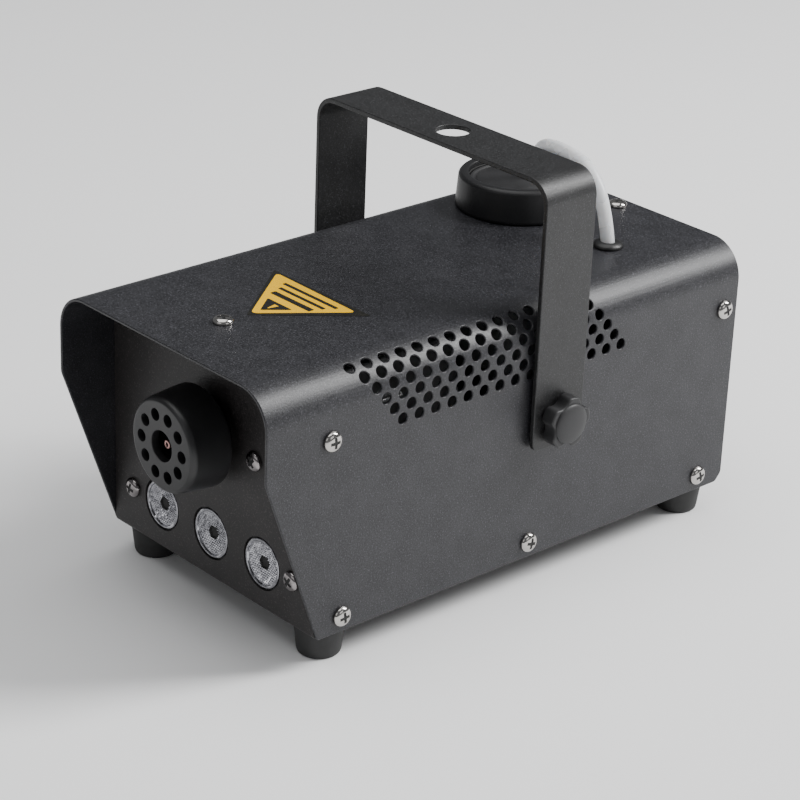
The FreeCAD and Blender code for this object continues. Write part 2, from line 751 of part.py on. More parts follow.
def make_lamps():
    """Three lensed lamps on one board, held off the front wall by spacers."""
    lens_r = D["lens_r"]
    lenses = []
    holders = []
    emitters = []
    lens_face = front + 0.2
    for n in (-1, 0, 1):
        spot = (D["lens_pitch"] * n, lens_face, lens_z)
        outline = [(0, 2.4), (2.2, 2.4), (2.2, 0), (lens_r - 0.3, 0), (lens_r, 0.3), (lens_r, 2.9),
                   (8.4, 3.1), (4.2, 10.1), (3, 10.1), (3, 7.5), (0, 7.5)]
        lenses.append(turned("lens", outline, "+Y", spot))
        holder_at = (spot[0], front + gauge, lens_z)
        holders.append(tube(11.3, lens_r + 0.05, 8.8, holder_at, "+Y"))
        emitters.append(box((spot[0] - 2.5, front + 10.4, lens_z - 2.5), (5, 1.2, 5)))
    part("lamp_lenses", group(lenses, "lamp_lenses"))
    part("lens_holders", group(holders, "lens_holders"))
    part("lamp_emitters", group(emitters, "lamp_emitters"))
    board = box((-53, front + 11.6, lens_z - 10.5), (106, 1.6, 23))
    holes = [rod(D["screw_hole_r"], 4, (x, front + 10, base + height), "+Y")
             for x, height in LAMP_SCREWS]
    part("lamp_board", cut(board, holes, "lamp_board"))
    spacers = [tube(3.5, D["screw_r"] + 0.05, 11.6 - gauge, (x, front + gauge, base + height), "+Y")
               for x, height in LAMP_SCREWS]
    part("lamp_spacers", group(spacers, "lamp_spacers"))


# ---------------------------------------------------------------- pump

def make_pump():
    """Solenoid pump lying along Y, with its outlet towards the heater."""
    x = D["pump_x"]
    z = base + D["pump_z"]
    start = front + 126
    coil = box((x - 16, start, z - 16), (32, 38, 32))
    coil = rounded(coil, 3, along_y)
    part("pump_coil", cut(coil, [rod(6.6, 40, (x, start - 1, z), "+Y")], "pump_coil"))
    ends = []
    for y in (start - 1.6, start + 38):
        ends.append(box((x - 16, y, z - 19), (32, 1.6, 35)))
    ends.append(box((x - 16, start - 1.6, z - 20.6), (32, 41.2, 1.6)))
    bores = [rod(6.6, 60, (x, start - 10, z), "+Y")]
    part("pump_frame", cut(joined(ends), bores, "pump_frame"))
    part("pump_barrel", tube(6.5, 5, 62, (x, start - 12, z), "+Y", "pump_barrel"))
    plunger = cut(rod(4.95, 26, (x, start + 6, z), "+Y"), [rod(1.5, 26, (x, start + 6, z), "+Y")])
    part("pump_plunger", plunger)
    spring = tube(4.4, 3.4, 13, (x, start - 8, z), "+Y", "pump_spring")
    part("pump_spring", spring)
    outlet = joined([hex_bar(8, 6, (x, start - 18, z), "+Y"), rod(4.9, 9.5, (x, start - 18, z), "+Y")])
    part("pump_outlet", cut(outlet, [rod(2.05, 14, (x, start - 20, z), "+Y")], "pump_outlet"))
    # elbow on the suction side, its barb points up
    elbow = joined([rod(7.5, 12, (x, start + 50, z), "+Y"), rod(4, 23.4, (x, start + 56, z))])
    part("pump_elbow", elbow)
    pads = [box((x - 14, start + dy, floor), (28, 12, z - 20.6 - floor)) for dy in (0, 26)]
    part("pump_pads", group(pads, "pump_pads"))


# ---------------------------------------------------------------- pipes and tube

def rounded_path(points):
    """Straight runs joined by tangent arcs. Returns the wire and the arcs' radii."""
    points = [Vector(*point) for point in points]
    edges = []
    radii = []
    start = points[0]
    for before, corner, after in zip(points, points[1:], points[2:]):
        back = before - corner
        ahead = after - corner
        shorter = min(back.Length, ahead.Length)
        half_turn = (math.pi - back.getAngle(ahead)) / 2
        trim = 0.45 * shorter
        radii.append(trim / math.tan(half_turn))
        back.normalize()
        ahead.normalize()
        first = corner + back * trim
        last = corner + ahead * trim
        bisector = (back + ahead).normalize()
        middle = corner + bisector * (radii[-1] / math.cos(half_turn) - radii[-1])
        edges.append(Part.LineSegment(start, first).toShape())
        edges.append(Part.Arc(first, middle, last).toShape())
        start = last
    edges.append(Part.LineSegment(start, points[-1]).toShape())
    return Part.Wire(edges), radii


def make_pipe(label, points, outer_r, inner_r=0.0):
    """Sweep a round section along the path and compare its volume with section times length."""
    path, radii = rounded_path(points)
    heading = Vector(*points[1]) - Vector(*points[0])

    def sweep(radius):
        ring = Part.Wire(Part.Circle(Vector(*points[0]), heading, radius).toShape())
        return path.makePipeShell([ring], True, True)

    shape = sweep(outer_r)
    if inner_r:
        shape = shape.cut(sweep(inner_r))
    expected = math.pi * (outer_r ** 2 - inner_r ** 2) * path.Length
    if abs(shape.Volume / expected - 1) > 0.01:
        raise RuntimeError(f"{label}: volume {shape.Volume:.1f}, expected {expected:.1f}")
    print(label, "length", round(path.Length, 1), "radii", [round(r, 1) for r in radii])
    item = doc.addObject("Part::Feature", label)
    item.Shape = shape
    part(label, item)


# The silicone tube's route from the tank cap over to the grommet and down to the pump's barb:
# X, depth behind the front wall's face, height above the cover's lower edge.
TUBE_ROUTE = (
    (-22.0, 180.0, 112.0),
    (-21.8, 179.9, 121.0),
    (-17.6, 178.6, 126.9),
    (-8.4, 175.8, 129.4),
    (4.0, 172.8, 130.2),
    (14.8, 170.9, 128.9),
    (22.6, 169.8, 122.0),
    (27.4, 169.4, 111.0),
    (30.2, 169.4, 98.0),
    (30.8, 170.6, 84.5),
    (30.4, 175.0, 72.0),
    (30.0, 180.5, 61.0),
    (30.0, 182.0, 50.1),
)


def make_tubes():
    y0 = front.number
    z0 = base.number
    route = [(x, y0 + depth, z0 + height) for x, depth, height in TUBE_ROUTE]
    make_pipe("feed_tube", route, D["tube_r"].number)
    x = D["pump_x"].number
    z = z0 + D["pump_z"].number
    rise = axis_z.number
    pipe = [(x, y0 + 112, z), (x, y0 + 104.5, z), (x - 3, y0 + 104, z + 12),
            (13, y0 + 105, rise - 4), (12, y0 + 99, rise), (12, y0 + 90, rise)]
    make_pipe("heater_pipe", pipe, 2.0)


# ---------------------------------------------------------------- fluid tank

def make_tank():
    """Blow-moulded bottle with a wide neck that comes up through the roof."""
    x0 = tank_x - 29.5
    y0 = front + 142
    z0 = floor + 0.3
    height = roof - 8 - z0
    outer = box((x0, y0, z0), (58, 55, height), "bottle")
    outer = rounded(outer, 6, lambda edge: True)
    inner = box((x0 + 1.6, y0 + 1.6, z0 + 1.6), (54.8, 51.8, height - 3.2), "bottle_inside")
    inner = rounded(inner, 4.4, lambda edge: True)
    neck_foot = roof - 10
    neck = rod(D["neck_r"], 18.6, (tank_x, tank_y, neck_foot))
    mouth = rod(D["neck_r"] - 2, 22, (tank_x, tank_y, neck_foot - 2))
    part("fluid_tank", cut(joined([outer, neck]), [inner, mouth], "fluid_tank"))
    bracket = joined([box((x0 + 5, y0 - 1.6, floor), (46, 1.5, 44)),
                      box((x0 + 5, y0 - 11, floor), (46, 10.9, 1.5))])
    part("tank_bracket", bracket)


def make_tank_cap():
    """Screw collar, its seal, and the fixed disc that holds the tube in the bottle's mouth."""
    height = D["collar_height"]
    foot = roof + 0.4
    bore = D["neck_r"] + 0.3
    collar = turned("tank_collar", [
        (bore, 0), (D["collar_r"], 0), (D["collar_top_r"] + 0.15, height - 1.2),
        (D["collar_top_r"] - 0.7, height - 0.1), (D["collar_top_r"] - 1.4, height - 0.1),
        (D["collar_top_r"] - 1.7, height - 0.6), (D["collar_top_r"] - 2.2, height - 0.6),
        (D["collar_top_r"] - 2.5, height - 0.1), (20.4, height - 0.1), (19.8, height - 0.7),
        (19.8, 11.2), (bore, 11.2)], "+Z", (tank_x, tank_y, foot))
    part("tank_collar", collar)
    seal = tube(20.9, 19.9, 0.8, (tank_x, tank_y, foot + 10.2), name="collar_seal")
    part("collar_seal", seal)
    lid_z = roof + 8.6
    disc = turned("disc_blank", [(0, -4), (18.8, -4), (18.8, 0), (20.8, 0), (20.8, 1.7), (19.5, 1.7),
                                (19.5, 2.4), (0, 2.4)], "+Z", (tank_x, tank_y, lid_z))
    hole_y = front + 180
    boss = tube(4.6, 2.9, 1.8, (-22, hole_y, lid_z + 2.3))
    barb = rod(2.7, 7, (-22, hole_y, lid_z - 10))
    part("tube_disc", joined([disc, boss, barb], "tube_disc"))
    pickup = tube(D["tube_r"] + 0.9, 2.75, 86, (-22, hole_y, lid_z - 96), name="pickup_tube")
    part("pickup_tube", pickup)
    weight = cut(rod(5, 14, (-22, hole_y, floor + 3)), [rod(3.7, 8, (-22, hole_y, floor + 11))])
    part("pickup_filter", weight)


def make_grommet():
    """Rubber ring around the tube where it passes through the roof."""
    spot = (D["grommet_x"], front + D["grommet_y"], roof)
    ring = turned("tube_grommet", [(2.9, -3), (5.6, -3), (5.6, -1.25), (4, -1.25), (4, 0), (5.9, 0),
                                   (5.9, 0.9), (4.9, 2.1), (3.5, 2.4), (2.9, 2.2)], "+Z", spot)
    part("tube_grommet", ring)


# ---------------------------------------------------------------- control board

BOARD_X = -53
BOARD_DEPTH = 40
BOARD_LENGTH = 84


def make_control_board():
    y0 = front + BOARD_DEPTH
    z0 = floor + 6
    corners = [(BOARD_X + dx, y0 + dy) for dx in (4, 28) for dy in (4, BOARD_LENGTH - 4)]
    board = box((BOARD_X, y0, z0), (32, BOARD_LENGTH, 1.6))
    holes = [rod(1.6, 4, (x, y, z0 - 1)) for x, y in corners]
    part("control_board", cut(board, holes, "control_board"))
    posts = [tube(2.8, 1.52, 6, (x, y, floor)) for x, y in corners]
    part("board_posts", group(posts, "board_posts"))
    screws = [joined([rod(1.5, 6.6, (x, y, z0 - 5)), rod(2.7, 1.6, (x, y, z0 + 1.6))])
              for x, y in corners]
    part("board_screws", group(screws, "board_screws"))
    deck = z0 + 1.6
    part("board_transformer", box((BOARD_X + 4, y0 + 36, deck), (23, 20, 17), "transformer"))
    relay = box((BOARD_X + 6, y0 + 12, deck), (15, 19, 15), "relay")
    terminals = box((BOARD_X + 9, y0 + 70, deck), (14, 8, 10), "terminals")
    cans = [rod(4, 12, (BOARD_X + 8 + 10 * n, y0 + 63, deck)) for n in (0, 1)]
    part("board_components", group([relay, terminals] + cans, "board_components"))


# ---------------------------------------------------------------- yoke, knobs, feet, screws

def make_yoke():
    """Flat steel strap bent into a U. Its arms hang on the two pivots."""
    inner = D["yoke_inner"]
    outer = inner + D["yoke_gauge"]
    top = base + D["yoke_top"]
    low = pivot_z - D["yoke_tail"]
    body = new_body("yoke")
    bend = D["yoke_bend"]
    under = top - D["yoke_gauge"]
    tight = bend - D["yoke_gauge"]
    outline = sketch_on(body, "XZ_Plane", -(pivot_y + D["yoke_width"] / 2))
    rounded_outline(outline, [(-outer, low), (-outer, top, bend), (outer, top, bend), (outer, low),
                              (inner, low), (inner, under, tight), (-inner, under, tight),
                              (-inner, low)])
    pad(body, outline, D["yoke_width"])
    low_z = low.number + 0.1
    fillet(body, 2.5, lambda e: runs_along(e, X_AXIS) and e.CenterOfMass.z < low_z and e.Length < 3)
    hang = sketch_on(body, "XY_Plane", top + 1, "hanging_hole")
    circle(hang, 0, pivot_y, D["hang_hole_r"])
    pocket(body, hang, 6)
    pivots = sketch_on(body, "YZ_Plane", 0, "pivot_holes")
    circle(pivots, pivot_y, pivot_z, D["stud_r"] + 0.35)
    pocket(body, pivots, outer * 2 + 5, both=True)
    part("yoke", body)


def make_knob(label, turn, sign):
    """Five-lobed hand knob with a domed disc on its face and a steel stud."""
    seat = sign * (D["yoke_inner"] + D["yoke_gauge"] + 1.0)
    knob_r = D["knob_r"]
    thick = D["knob_thick"]
    body = new_body(f"{label}_knob")
    outline = sketch_on(body, "XY_Plane")
    circle(outline, 0, 0, knob_r)
    pad(body, outline, thick)
    scoop = sketch_on(body, "XY_Plane", thick + 1, "scoop")
    scoop_turn = math.radians(-10)
    scoop_at = knob_r + 2
    circle(scoop, scoop_at * math.cos(scoop_turn), scoop_at * math.sin(scoop_turn), 4.1)
    polar(body, [pocket(body, scoop, thick + 2)], 5)
    fillet(body, 1.4, lambda edge: runs_along(edge, Z_AXIS) and edge.Length > 3)
    fillet(body, 0.7, lambda edge: abs(edge.CenterOfMass.z - thick.number) < 0.01)
    dome = sketch_on(body, "XZ_Plane", 0, "dome")
    polygon(dome, [(0, thick - 1), (7.8, thick - 1), (7.8, thick + 0.4), (7.3, thick + 0.8),
                   (5.2, thick + 1.4), (2.6, thick + 1.7), (0, thick + 1.8)])
    revolution(body, dome)
    bore = sketch_on(body, "XY_Plane", -1, "stud_hole")
    circle(bore, 0, 0, D["stud_r"])
    pocket(body, bore, 5, reverse=True)
    part(f"{label}_knob", place(body, seat, pivot_y, pivot_z, turn))
    stud = rod(D["stud_r"], 18, (seat + sign * 4, pivot_y, pivot_z), "-X" if sign > 0 else "+X")
    part(f"{label}_stud", stud)
    washer = tube(7, D["stud_r"] + 0.05, 0.7, (seat - sign * 0.1, pivot_y, pivot_z),
                  "-X" if sign > 0 else "+X", f"{label}_washer")
    part(f"{label}_washer", washer)


def make_pivots():
    """Threaded inserts in the cover's walls, and the spacers between walls and arms."""
    inserts = []
    spacers = []
    for sign, turn in ((-1, "-X"), (1, "+X")):
        spot = (sign * (side - 11), pivot_y, pivot_z)
        shank = rod(4, 11, spot, turn)
        rim = rod(5.5, 0.8, (sign * side, pivot_y, pivot_z), turn)
        crimp = rod(5.2, 2, (sign * (side - gauge - 2), pivot_y, pivot_z), turn)
        hole = rod(D["stud_r"] + 0.05, 14, (sign * (side - 12), pivot_y, pivot_z), turn)
        inserts.append(cut(joined([shank, rim, crimp]), [hole]))
        spacers.append(tube(8.5, 5.6, 1.2, (sign * side, pivot_y, pivot_z), turn))
    part("pivot_inserts", group(inserts, "pivot_inserts"))
    part("pivot_spacers", group(spacers, "pivot_spacers"))


def make_feet():
    feet = []
    screws = []
    for sign, depth in FEET:
        spot = (D["foot_x"] * sign, front + depth, base)
        outline = [(2.2, 0), (D["foot_top_r"], 0), (D["foot_r"] + 0.35, 2 - base),
                   (D["foot_r"] - 0.5, -base), (4.2, -base), (4.2, 5 - base), (2.2, 5 - base)]
        feet.append(turned("foot", outline, "+Z", spot))
        head = rod(3.6, 2, (spot[0], spot[1], 3))
        shank = rod(D["screw_r"], 14, (spot[0], spot[1], 5))
        screws.append(joined([head, shank]))
    part("feet", group(feet, "feet"))
    for sign, depth in FEET:
        spot = (D["foot_x"] * sign, front + depth, floor)
        screws.append(cut(hex_bar(4, 3, spot), [rod(D["screw_r"], 3, spot)]))
    part("foot_screws", group(screws, "foot_screws"))


def screw(spot, turn, length):
    """Pan-head screw with a cross recess. The spot is the underside of its head."""
    head_r = D["screw_head_r"]
    rise = D["screw_head_rise"]
    body = new_body("screw")
    outline = sketch_on(body, "XZ_Plane")
    polygon(outline, [(0, -length), (D["screw_r"], -length), (D["screw_r"], 0), (head_r - 0.15, 0),
                      (head_r, 0.3), (head_r - 0.35, 1.15), (head_r - 1.1, rise - 0.5),
                      (head_r - 2.2, rise - 0.12), (0, rise)])
    revolution(body, outline)
    for spans in ((1.9, 0.45), (0.45, 1.9)):
        slot = sketch_on(body, "XY_Plane", rise + 0.5, "slot")
        rectangle(slot, (-spans[0], -spans[1]), (spans[0], spans[1]))
        pocket(body, slot, 1.9)
    return place(body, *spot, turn)


def make_screws():
    covers = [screw((0, front + depth, roof), "+Z", 6) for depth in TOP_SCREWS]
    for sign, turn in ((-1, "-X"), (1, "+X")):
        for depth, height in SIDE_SCREWS:
            covers.append(screw((sign * side, front + depth, base + height), turn, 6))
    part("cover_screws", group(covers, "cover_screws"))
    fronts = [screw((x, front, base + height), "-Y", 18) for x, height in LAMP_SCREWS]
    fronts += [screw((x, front, base + height), "-Y", 8) for x, height in CAP_SCREWS]
    part("front_screws", group(fronts, "front_screws"))


def make_top_plate():
    """Thin triangular sticker on the roof behind the nozzle."""
    body = new_body("top_sticker")
    outline = sketch_on(body, "XY_Plane", roof)
    polygon(outline, [(0, front + 15.5), (27.5, front + 50.6), (-27.5, front + 50.6)])
    pad(body, outline, 0.15)
    part("top_sticker", body)


# ---------------------------------------------------------------- build, check and write

MAKERS = (
    make_top_cover, make_chassis, make_rear_fittings, make_nozzle_cap, make_nozzle, make_heater,
    make_lamps, make_pump, make_tubes, make_tank, make_tank_cap, make_grommet,
    make_control_board, make_yoke, make_pivots, make_feet, make_screws, make_top_plate,
)
for make in MAKERS:
    make()
make_knob("left", "-X", -1)
make_knob("right", "+X", 1)
doc.recompute()

for item in doc.Objects:
    if "Invalid" in item.State or "Error" in item.State:
        raise RuntimeError(f"{item.Name} ({item.Label}) failed: {item.State}")
for item in PARTS:
    if item.Shape.isNull() or not item.Shape.isValid() or item.Shape.Volume <= 0:
        raise RuntimeError(f"{item.Label}: no valid shape")
    item.Shape.exportStep(f"parts/{item.Label}.step")
print(len(PARTS), "sub-parts written")
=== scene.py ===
"""Looks of the compact stage fog machine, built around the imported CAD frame.

Shapes are drawn in millimetres in the row frame and written to the meshes in metres.
"""
import bmesh
import bpy
import json
import math
import random
from mathutils import Matrix, Vector
from mathutils.geometry import delaunay_2d_cdt


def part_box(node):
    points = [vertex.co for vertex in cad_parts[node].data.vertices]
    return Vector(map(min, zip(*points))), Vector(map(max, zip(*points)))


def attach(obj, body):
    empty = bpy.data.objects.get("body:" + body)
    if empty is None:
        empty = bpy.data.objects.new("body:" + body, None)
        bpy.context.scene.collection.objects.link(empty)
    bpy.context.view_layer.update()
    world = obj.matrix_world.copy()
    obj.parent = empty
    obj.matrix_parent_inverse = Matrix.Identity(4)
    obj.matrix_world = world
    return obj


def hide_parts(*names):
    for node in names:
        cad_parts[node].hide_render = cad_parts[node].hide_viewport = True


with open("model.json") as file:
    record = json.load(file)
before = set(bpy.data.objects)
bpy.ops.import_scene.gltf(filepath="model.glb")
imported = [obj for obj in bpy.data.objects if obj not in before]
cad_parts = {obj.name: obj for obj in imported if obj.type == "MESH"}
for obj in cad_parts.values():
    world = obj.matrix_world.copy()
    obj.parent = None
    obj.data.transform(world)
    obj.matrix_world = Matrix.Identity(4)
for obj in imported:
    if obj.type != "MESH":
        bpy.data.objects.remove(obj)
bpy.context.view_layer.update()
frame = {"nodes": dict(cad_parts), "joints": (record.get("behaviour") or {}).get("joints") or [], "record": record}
nodes = frame["nodes"]

MM = 0.001


def box_mm(node):
    low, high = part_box(node)
    return low / MM, high / MM


# ---------------------------------------------------------------- places, from the frame

cover_low, cover_high = box_mm("top_cover")
chassis_low, chassis_high = box_mm("chassis")
yoke_low, yoke_high = box_mm("yoke")
FRONT = chassis_low.y
REAR = chassis_high.y
HOOD = cover_low.y
TAIL = cover_high.y
BASE = cover_low.z
ROOF = cover_high.z
SIDE = cover_high.x
joint_spots = {joint["name"]: joint.get("pos_m") for joint in frame["joints"]}
PIVOT_Y = joint_spots["yoke_tilt"][1] / MM
PIVOT_Z = joint_spots["yoke_tilt"][2] / MM
CAP_X = joint_spots["tank_cap_turn"][0] / MM
CAP_Y = joint_spots["tank_cap_turn"][1] / MM
nozzle_low, nozzle_high = box_mm("nozzle_cap")
AXIS_Z = (nozzle_low.z + nozzle_high.z) / 2
lens_low, lens_high = box_mm("lamp_lenses")
LENS_Z = (lens_low.z + lens_high.z) / 2
LENS_R = (lens_high.z - lens_low.z) / 2
LENS_PITCH = lens_high.x - LENS_R

grommet_low, grommet_high = box_mm("tube_grommet")
GROMMET_X = (grommet_low.x + grommet_high.x) / 2
GROMMET_Y = (grommet_low.y + grommet_high.y) / 2
INLET = Vector((32, 0, BASE + 76))
SWITCH = Vector((18, 0, BASE + 40))
SOCKET = Vector((-30, 0, BASE + 36))
READY = Vector((-30, 0, BASE + 66))
LENS_XS = (-LENS_PITCH, 0, LENS_PITCH)

collar_low, collar_high = box_mm("tank_collar")
KNOB_SEAT = box_mm("right_knob")[0].x
SCOOP_TURNS = [math.radians(72 * k - 10) for k in range(5)]
TUBE_RADIUS = 2.75
TUBE_ROUTE = (  # X, depth behind the front wall, height above the cover's lower edge
    (-22.0, 180.0, 112.0),
    (-21.8, 179.9, 121.0),
    (-17.6, 178.6, 126.9),
    (-8.4, 175.8, 129.4),
    (4.0, 172.8, 130.2),
    (14.8, 170.9, 128.9),
    (22.6, 169.8, 122.0),
    (27.4, 169.4, 111.0),
    (30.2, 169.4, 98.0),
    (30.8, 170.6, 84.5),
    (30.4, 175.0, 72.0),
    (30.0, 180.5, 61.0),
    (30.0, 182.0, 50.1),
)

GAUGE = 1.2
COVER_BEND = 14.5
HOOD_KNEE = 68.2
HOOD_TOE = 1.2
EDGE = 0.28  # how far the sheet edges are rounded off
COVER_EDGE = 0.42
STRAP_EDGE = 0.4

HANG_HOLE_R = 6.5
SCREW_HOLE_R = 2.1
PIVOT_HOLE_R = 4.05
GROMMET_HOLE_R = 4.55
TANK_HOLE_R = 22.6
LENS_HOLE_R = 10.2
NECK_HOLE_R = 11.7
SOCKET_HOLE_R = 6.1
READY_HOLE_R = 3.1
FLANGE_HOLE_R = 1.7
INLET_HALF = (14, 10.4)
SWITCH_HALF = (6.7, 9.9)
VENT_R = 2.15
VENT_ROWS = 6
VENTS_PER_ROW = 15
VENT_PITCH = 7.82
VENT_START = 18.1  # first vent of the top row, behind the front wall
VENT_SHIFT = 3.98  # how far back each row starts after the one above it
VENT_CLIMB = 14.48  # top row above the bend's foot, along the bend
VENT_DROP = 4.93

SIDE_SCREWS = ((5.4, 76.9), (12.0, 6.5), (104.2, 6.5), (197.8, 6.5), (205.1, 76.0))
TOP_SCREWS = (5.0, 205.1)
LAMP_SCREWS = ((-46.8, 18.9), (46.8, 18.9))
CAP_SCREWS = ((-25.2, 57.6), (25.2, 57.6))
FEET = ((-48.6, 11.6), (48.6, 11.6), (-48.6, 200.0), (48.6, 200.0))


# ---------------------------------------------------------------- camera

CAMERA_SPOT = Vector((675.06, -626.57, 476.87)) * MM
CAMERA_AZIMUTH = math.radians(47.443)
CAMERA_ELEVATION = math.radians(24.520)
CAMERA_ROLL = math.radians(2.265)
CAMERA_LENS = 118.627


def make_camera():
    data = bpy.data.cameras.new("camera")
    data.lens = CAMERA_LENS
    data.sensor_width = 36.0
    data.clip_end = 20
    camera = bpy.data.objects.new("camera", data)
    a, e, r = CAMERA_AZIMUTH, CAMERA_ELEVATION, CAMERA_ROLL
    back = Vector((math.sin(a) * math.cos(e), -math.cos(a) * math.cos(e), math.sin(e)))
    right = Vector((math.cos(a), math.sin(a), 0))
    up = back.cross(right)
    tilted_right = right * math.cos(r) + up * math.sin(r)
    tilted_up = up * math.cos(r) - right * math.sin(r)
    turn = Matrix((tilted_right, tilted_up, back)).transposed().to_4x4()
    camera.matrix_world = Matrix.Translation(CAMERA_SPOT) @ turn
    bpy.context.scene.collection.objects.link(camera)
    bpy.context.scene.camera = camera


# ---------------------------------------------------------------- material helpers

class Shader:
    """A material's node tree with short calls for the nodes used here."""

    def __init__(self, name):
        self.material = bpy.data.materials.new(name)
        self.material.use_nodes = True
        self.tree = self.material.node_tree
        self.surface = self.tree.nodes["Principled BSDF"]
        self.spot = self.add("ShaderNodeTexCoord").outputs["Object"]

    def add(self, kind, **settings):
        node = self.tree.nodes.new(kind)
        for name, value in settings.items():
            setattr(node, name, value)
        return node

    def link(self, source, target):
        self.tree.links.new(source, target)

    def set(self, **values):
        for name, value in values.items():
            socket = self.surface.inputs[name.replace("_", " ")]
            socket.default_value = value

    def noise(self, size_mm, detail=2.0, roughness=0.5, stretch=None):
        """Noise whose grains are about size_mm across."""
        texture = self.add("ShaderNodeTexNoise")
        texture.inputs["Scale"].default_value = 1.0 / (size_mm * MM)
        texture.inputs["Detail"].default_value = detail
        texture.inputs["Roughness"].default_value = roughness
        spot = self.spot
        if stretch:
            mapping = self.add("ShaderNodeMapping")
            mapping.inputs["Scale"].default_value = stretch
            self.link(spot, mapping.inputs["Vector"])
            spot = mapping.outputs["Vector"]
        self.link(spot, texture.inputs["Vector"])
        return texture.outputs["Fac"]

    def remap(self, value, low, high, to_low, to_high):
        node = self.add("ShaderNodeMapRange")
        node.inputs["From Min"].default_value = low
        node.inputs["From Max"].default_value = high
        node.inputs["To Min"].default_value = to_low
        node.inputs["To Max"].default_value = to_high
        self.link(value, node.inputs["Value"])
        return node.outputs["Result"]

    def math(self, operation, first, second):
        node = self.add("ShaderNodeMath", operation=operation)
        for socket, value in zip(node.inputs, (first, second)):
            if isinstance(value, (int, float)):
                socket.default_value = value
            else:
                self.link(value, socket)
        return node.outputs["Value"]

    def blend(self, factor, first, second):
        """A colour between two colours."""
        node = self.add("ShaderNodeMix", data_type="RGBA")
        sockets = (node.inputs[0], node.inputs[6], node.inputs[7])
        for socket, value in zip(sockets, (factor, first, second)):
            if isinstance(value, bpy.types.NodeSocket):
                self.link(value, socket)
            elif isinstance(value, (int, float)):
                socket.default_value = value
            else:
                socket.default_value = (*value, 1.0)
        return node.outputs[2]

    def color(self, source):
        self.link(source, self.surface.inputs["Base Color"])

    def roughness(self, source):
        self.link(source, self.surface.inputs["Roughness"])

    def bump(self, heights, strength=1.0):
        """Stack height maps: each entry is (value, depth in mm)."""
        normal = None
        for value, depth in heights:
            node = self.add("ShaderNodeBump")
            node.inputs["Strength"].default_value = strength
            node.inputs["Distance"].default_value = depth * MM
            self.link(value, node.inputs["Height"])
            if normal:
                self.link(normal, node.inputs["Normal"])
            normal = node.outputs["Normal"]
        self.link(normal, self.surface.inputs["Normal"])


def powder_coat(name, dark, light, roughness=0.42):
    """Fine-grained satin powder coat: pebbled skin, faint mottling, a few paler specks."""
    s = Shader(name)
    mottle = s.noise(9.0, detail=3)
    grain = s.noise(0.55, detail=2, roughness=0.6)
    shade = s.math("ADD", s.math("MULTIPLY", mottle, 0.2), s.math("MULTIPLY", grain, 0.8))
    coat = s.blend(s.remap(shade, 0.40, 0.60, 0, 1), dark, light)
    specks = s.remap(s.noise(0.6, detail=1, roughness=0.4), 0.62, 0.70, 0, 0.55)
    s.color(s.blend(specks, coat, tuple(c * 3.5 for c in light)))
    s.roughness(s.remap(grain, 0.3, 0.7, roughness - 0.05, roughness + 0.07))
    s.bump([(s.noise(0.9, detail=2), 0.030), (grain, 0.050)], strength=0.85)
    return s.material


def moulded(name, tint, roughness=0.5, grain_mm=0.35, depth=0.012, spread=0.25):
    """Moulded plastic: a matt, finely eroded skin with slight flow marks."""
    s = Shader(name)
    grain = s.noise(grain_mm, detail=2, roughness=0.6)
    flow = s.noise(14.0, detail=2, stretch=(1, 1, 0.35))
    pale = tuple(c * (1 + spread) + 0.002 for c in tint)
    deep = tuple(c * (1 - spread) for c in tint)
    mix = s.math("ADD", s.math("MULTIPLY", flow, 0.6), s.math("MULTIPLY", grain, 0.4))
    s.color(s.blend(s.remap(mix, 0.35, 0.65, 0, 1), deep, pale))
    s.roughness(s.remap(flow, 0.3, 0.7, roughness - 0.05, roughness + 0.05))
    s.bump([(grain, depth)], strength=0.5)
    return s.material


def metal(name, tint, roughness=0.2, scratch=(1, 1, 12), scratch_mm=0.5, spread=0.12, depth=0.004):
    """Plated or turned metal: brushed streaks, faint tarnish, small handling marks."""
    s = Shader(name)
    streaks = s.noise(scratch_mm, detail=3, stretch=scratch)
    tarnish = s.noise(3.5, detail=3)
    deep = tuple(c * (1 - spread) for c in tint)
    s.color(s.blend(s.remap(tarnish, 0.35, 0.7, 0, 1), tint, deep))
    s.roughness(s.remap(streaks, 0.3, 0.7, max(roughness - 0.06, 0.02), roughness + 0.08))
    s.bump([(streaks, depth)], strength=0.4)
    s.set(Metallic=1.0)
    return s.material


def rubber(name, tint, roughness=0.62):
    """Moulded rubber: soft sheen, dusty mottling and a fine pore."""
    s = Shader(name)
    dust = s.noise(4.0, detail=4)
    pore = s.noise(0.3, detail=1)
    pale = tuple(c * 1.5 + 0.004 for c in tint)
    s.color(s.blend(s.remap(dust, 0.45, 0.75, 0, 1), tint, pale))
    s.roughness(s.remap(dust, 0.3, 0.7, roughness, roughness + 0.12))
    s.bump([(pore, 0.01)], strength=0.5)
    return s.material


def silicone(name):
    """Milky translucent tube: light passes into it, with faint streaks from extrusion."""
    s = Shader(name)
    streaks = s.noise(9.0, detail=1)
    s.color(s.blend(s.remap(streaks, 0.3, 0.7, 0, 1), (0.88, 0.90, 0.94), (0.96, 0.97, 0.98)))
    s.roughness(s.remap(streaks, 0.3, 0.7, 0.22, 0.34))
    s.bump([(streaks, 0.01)], strength=0.3)
    s.set(Subsurface_Weight=0.55, Subsurface_Scale=0.004, Transmission_Weight=0.25, IOR=1.41)
    s.surface.inputs["Subsurface Radius"].default_value = (1.0, 0.95, 0.9)
    return s.material


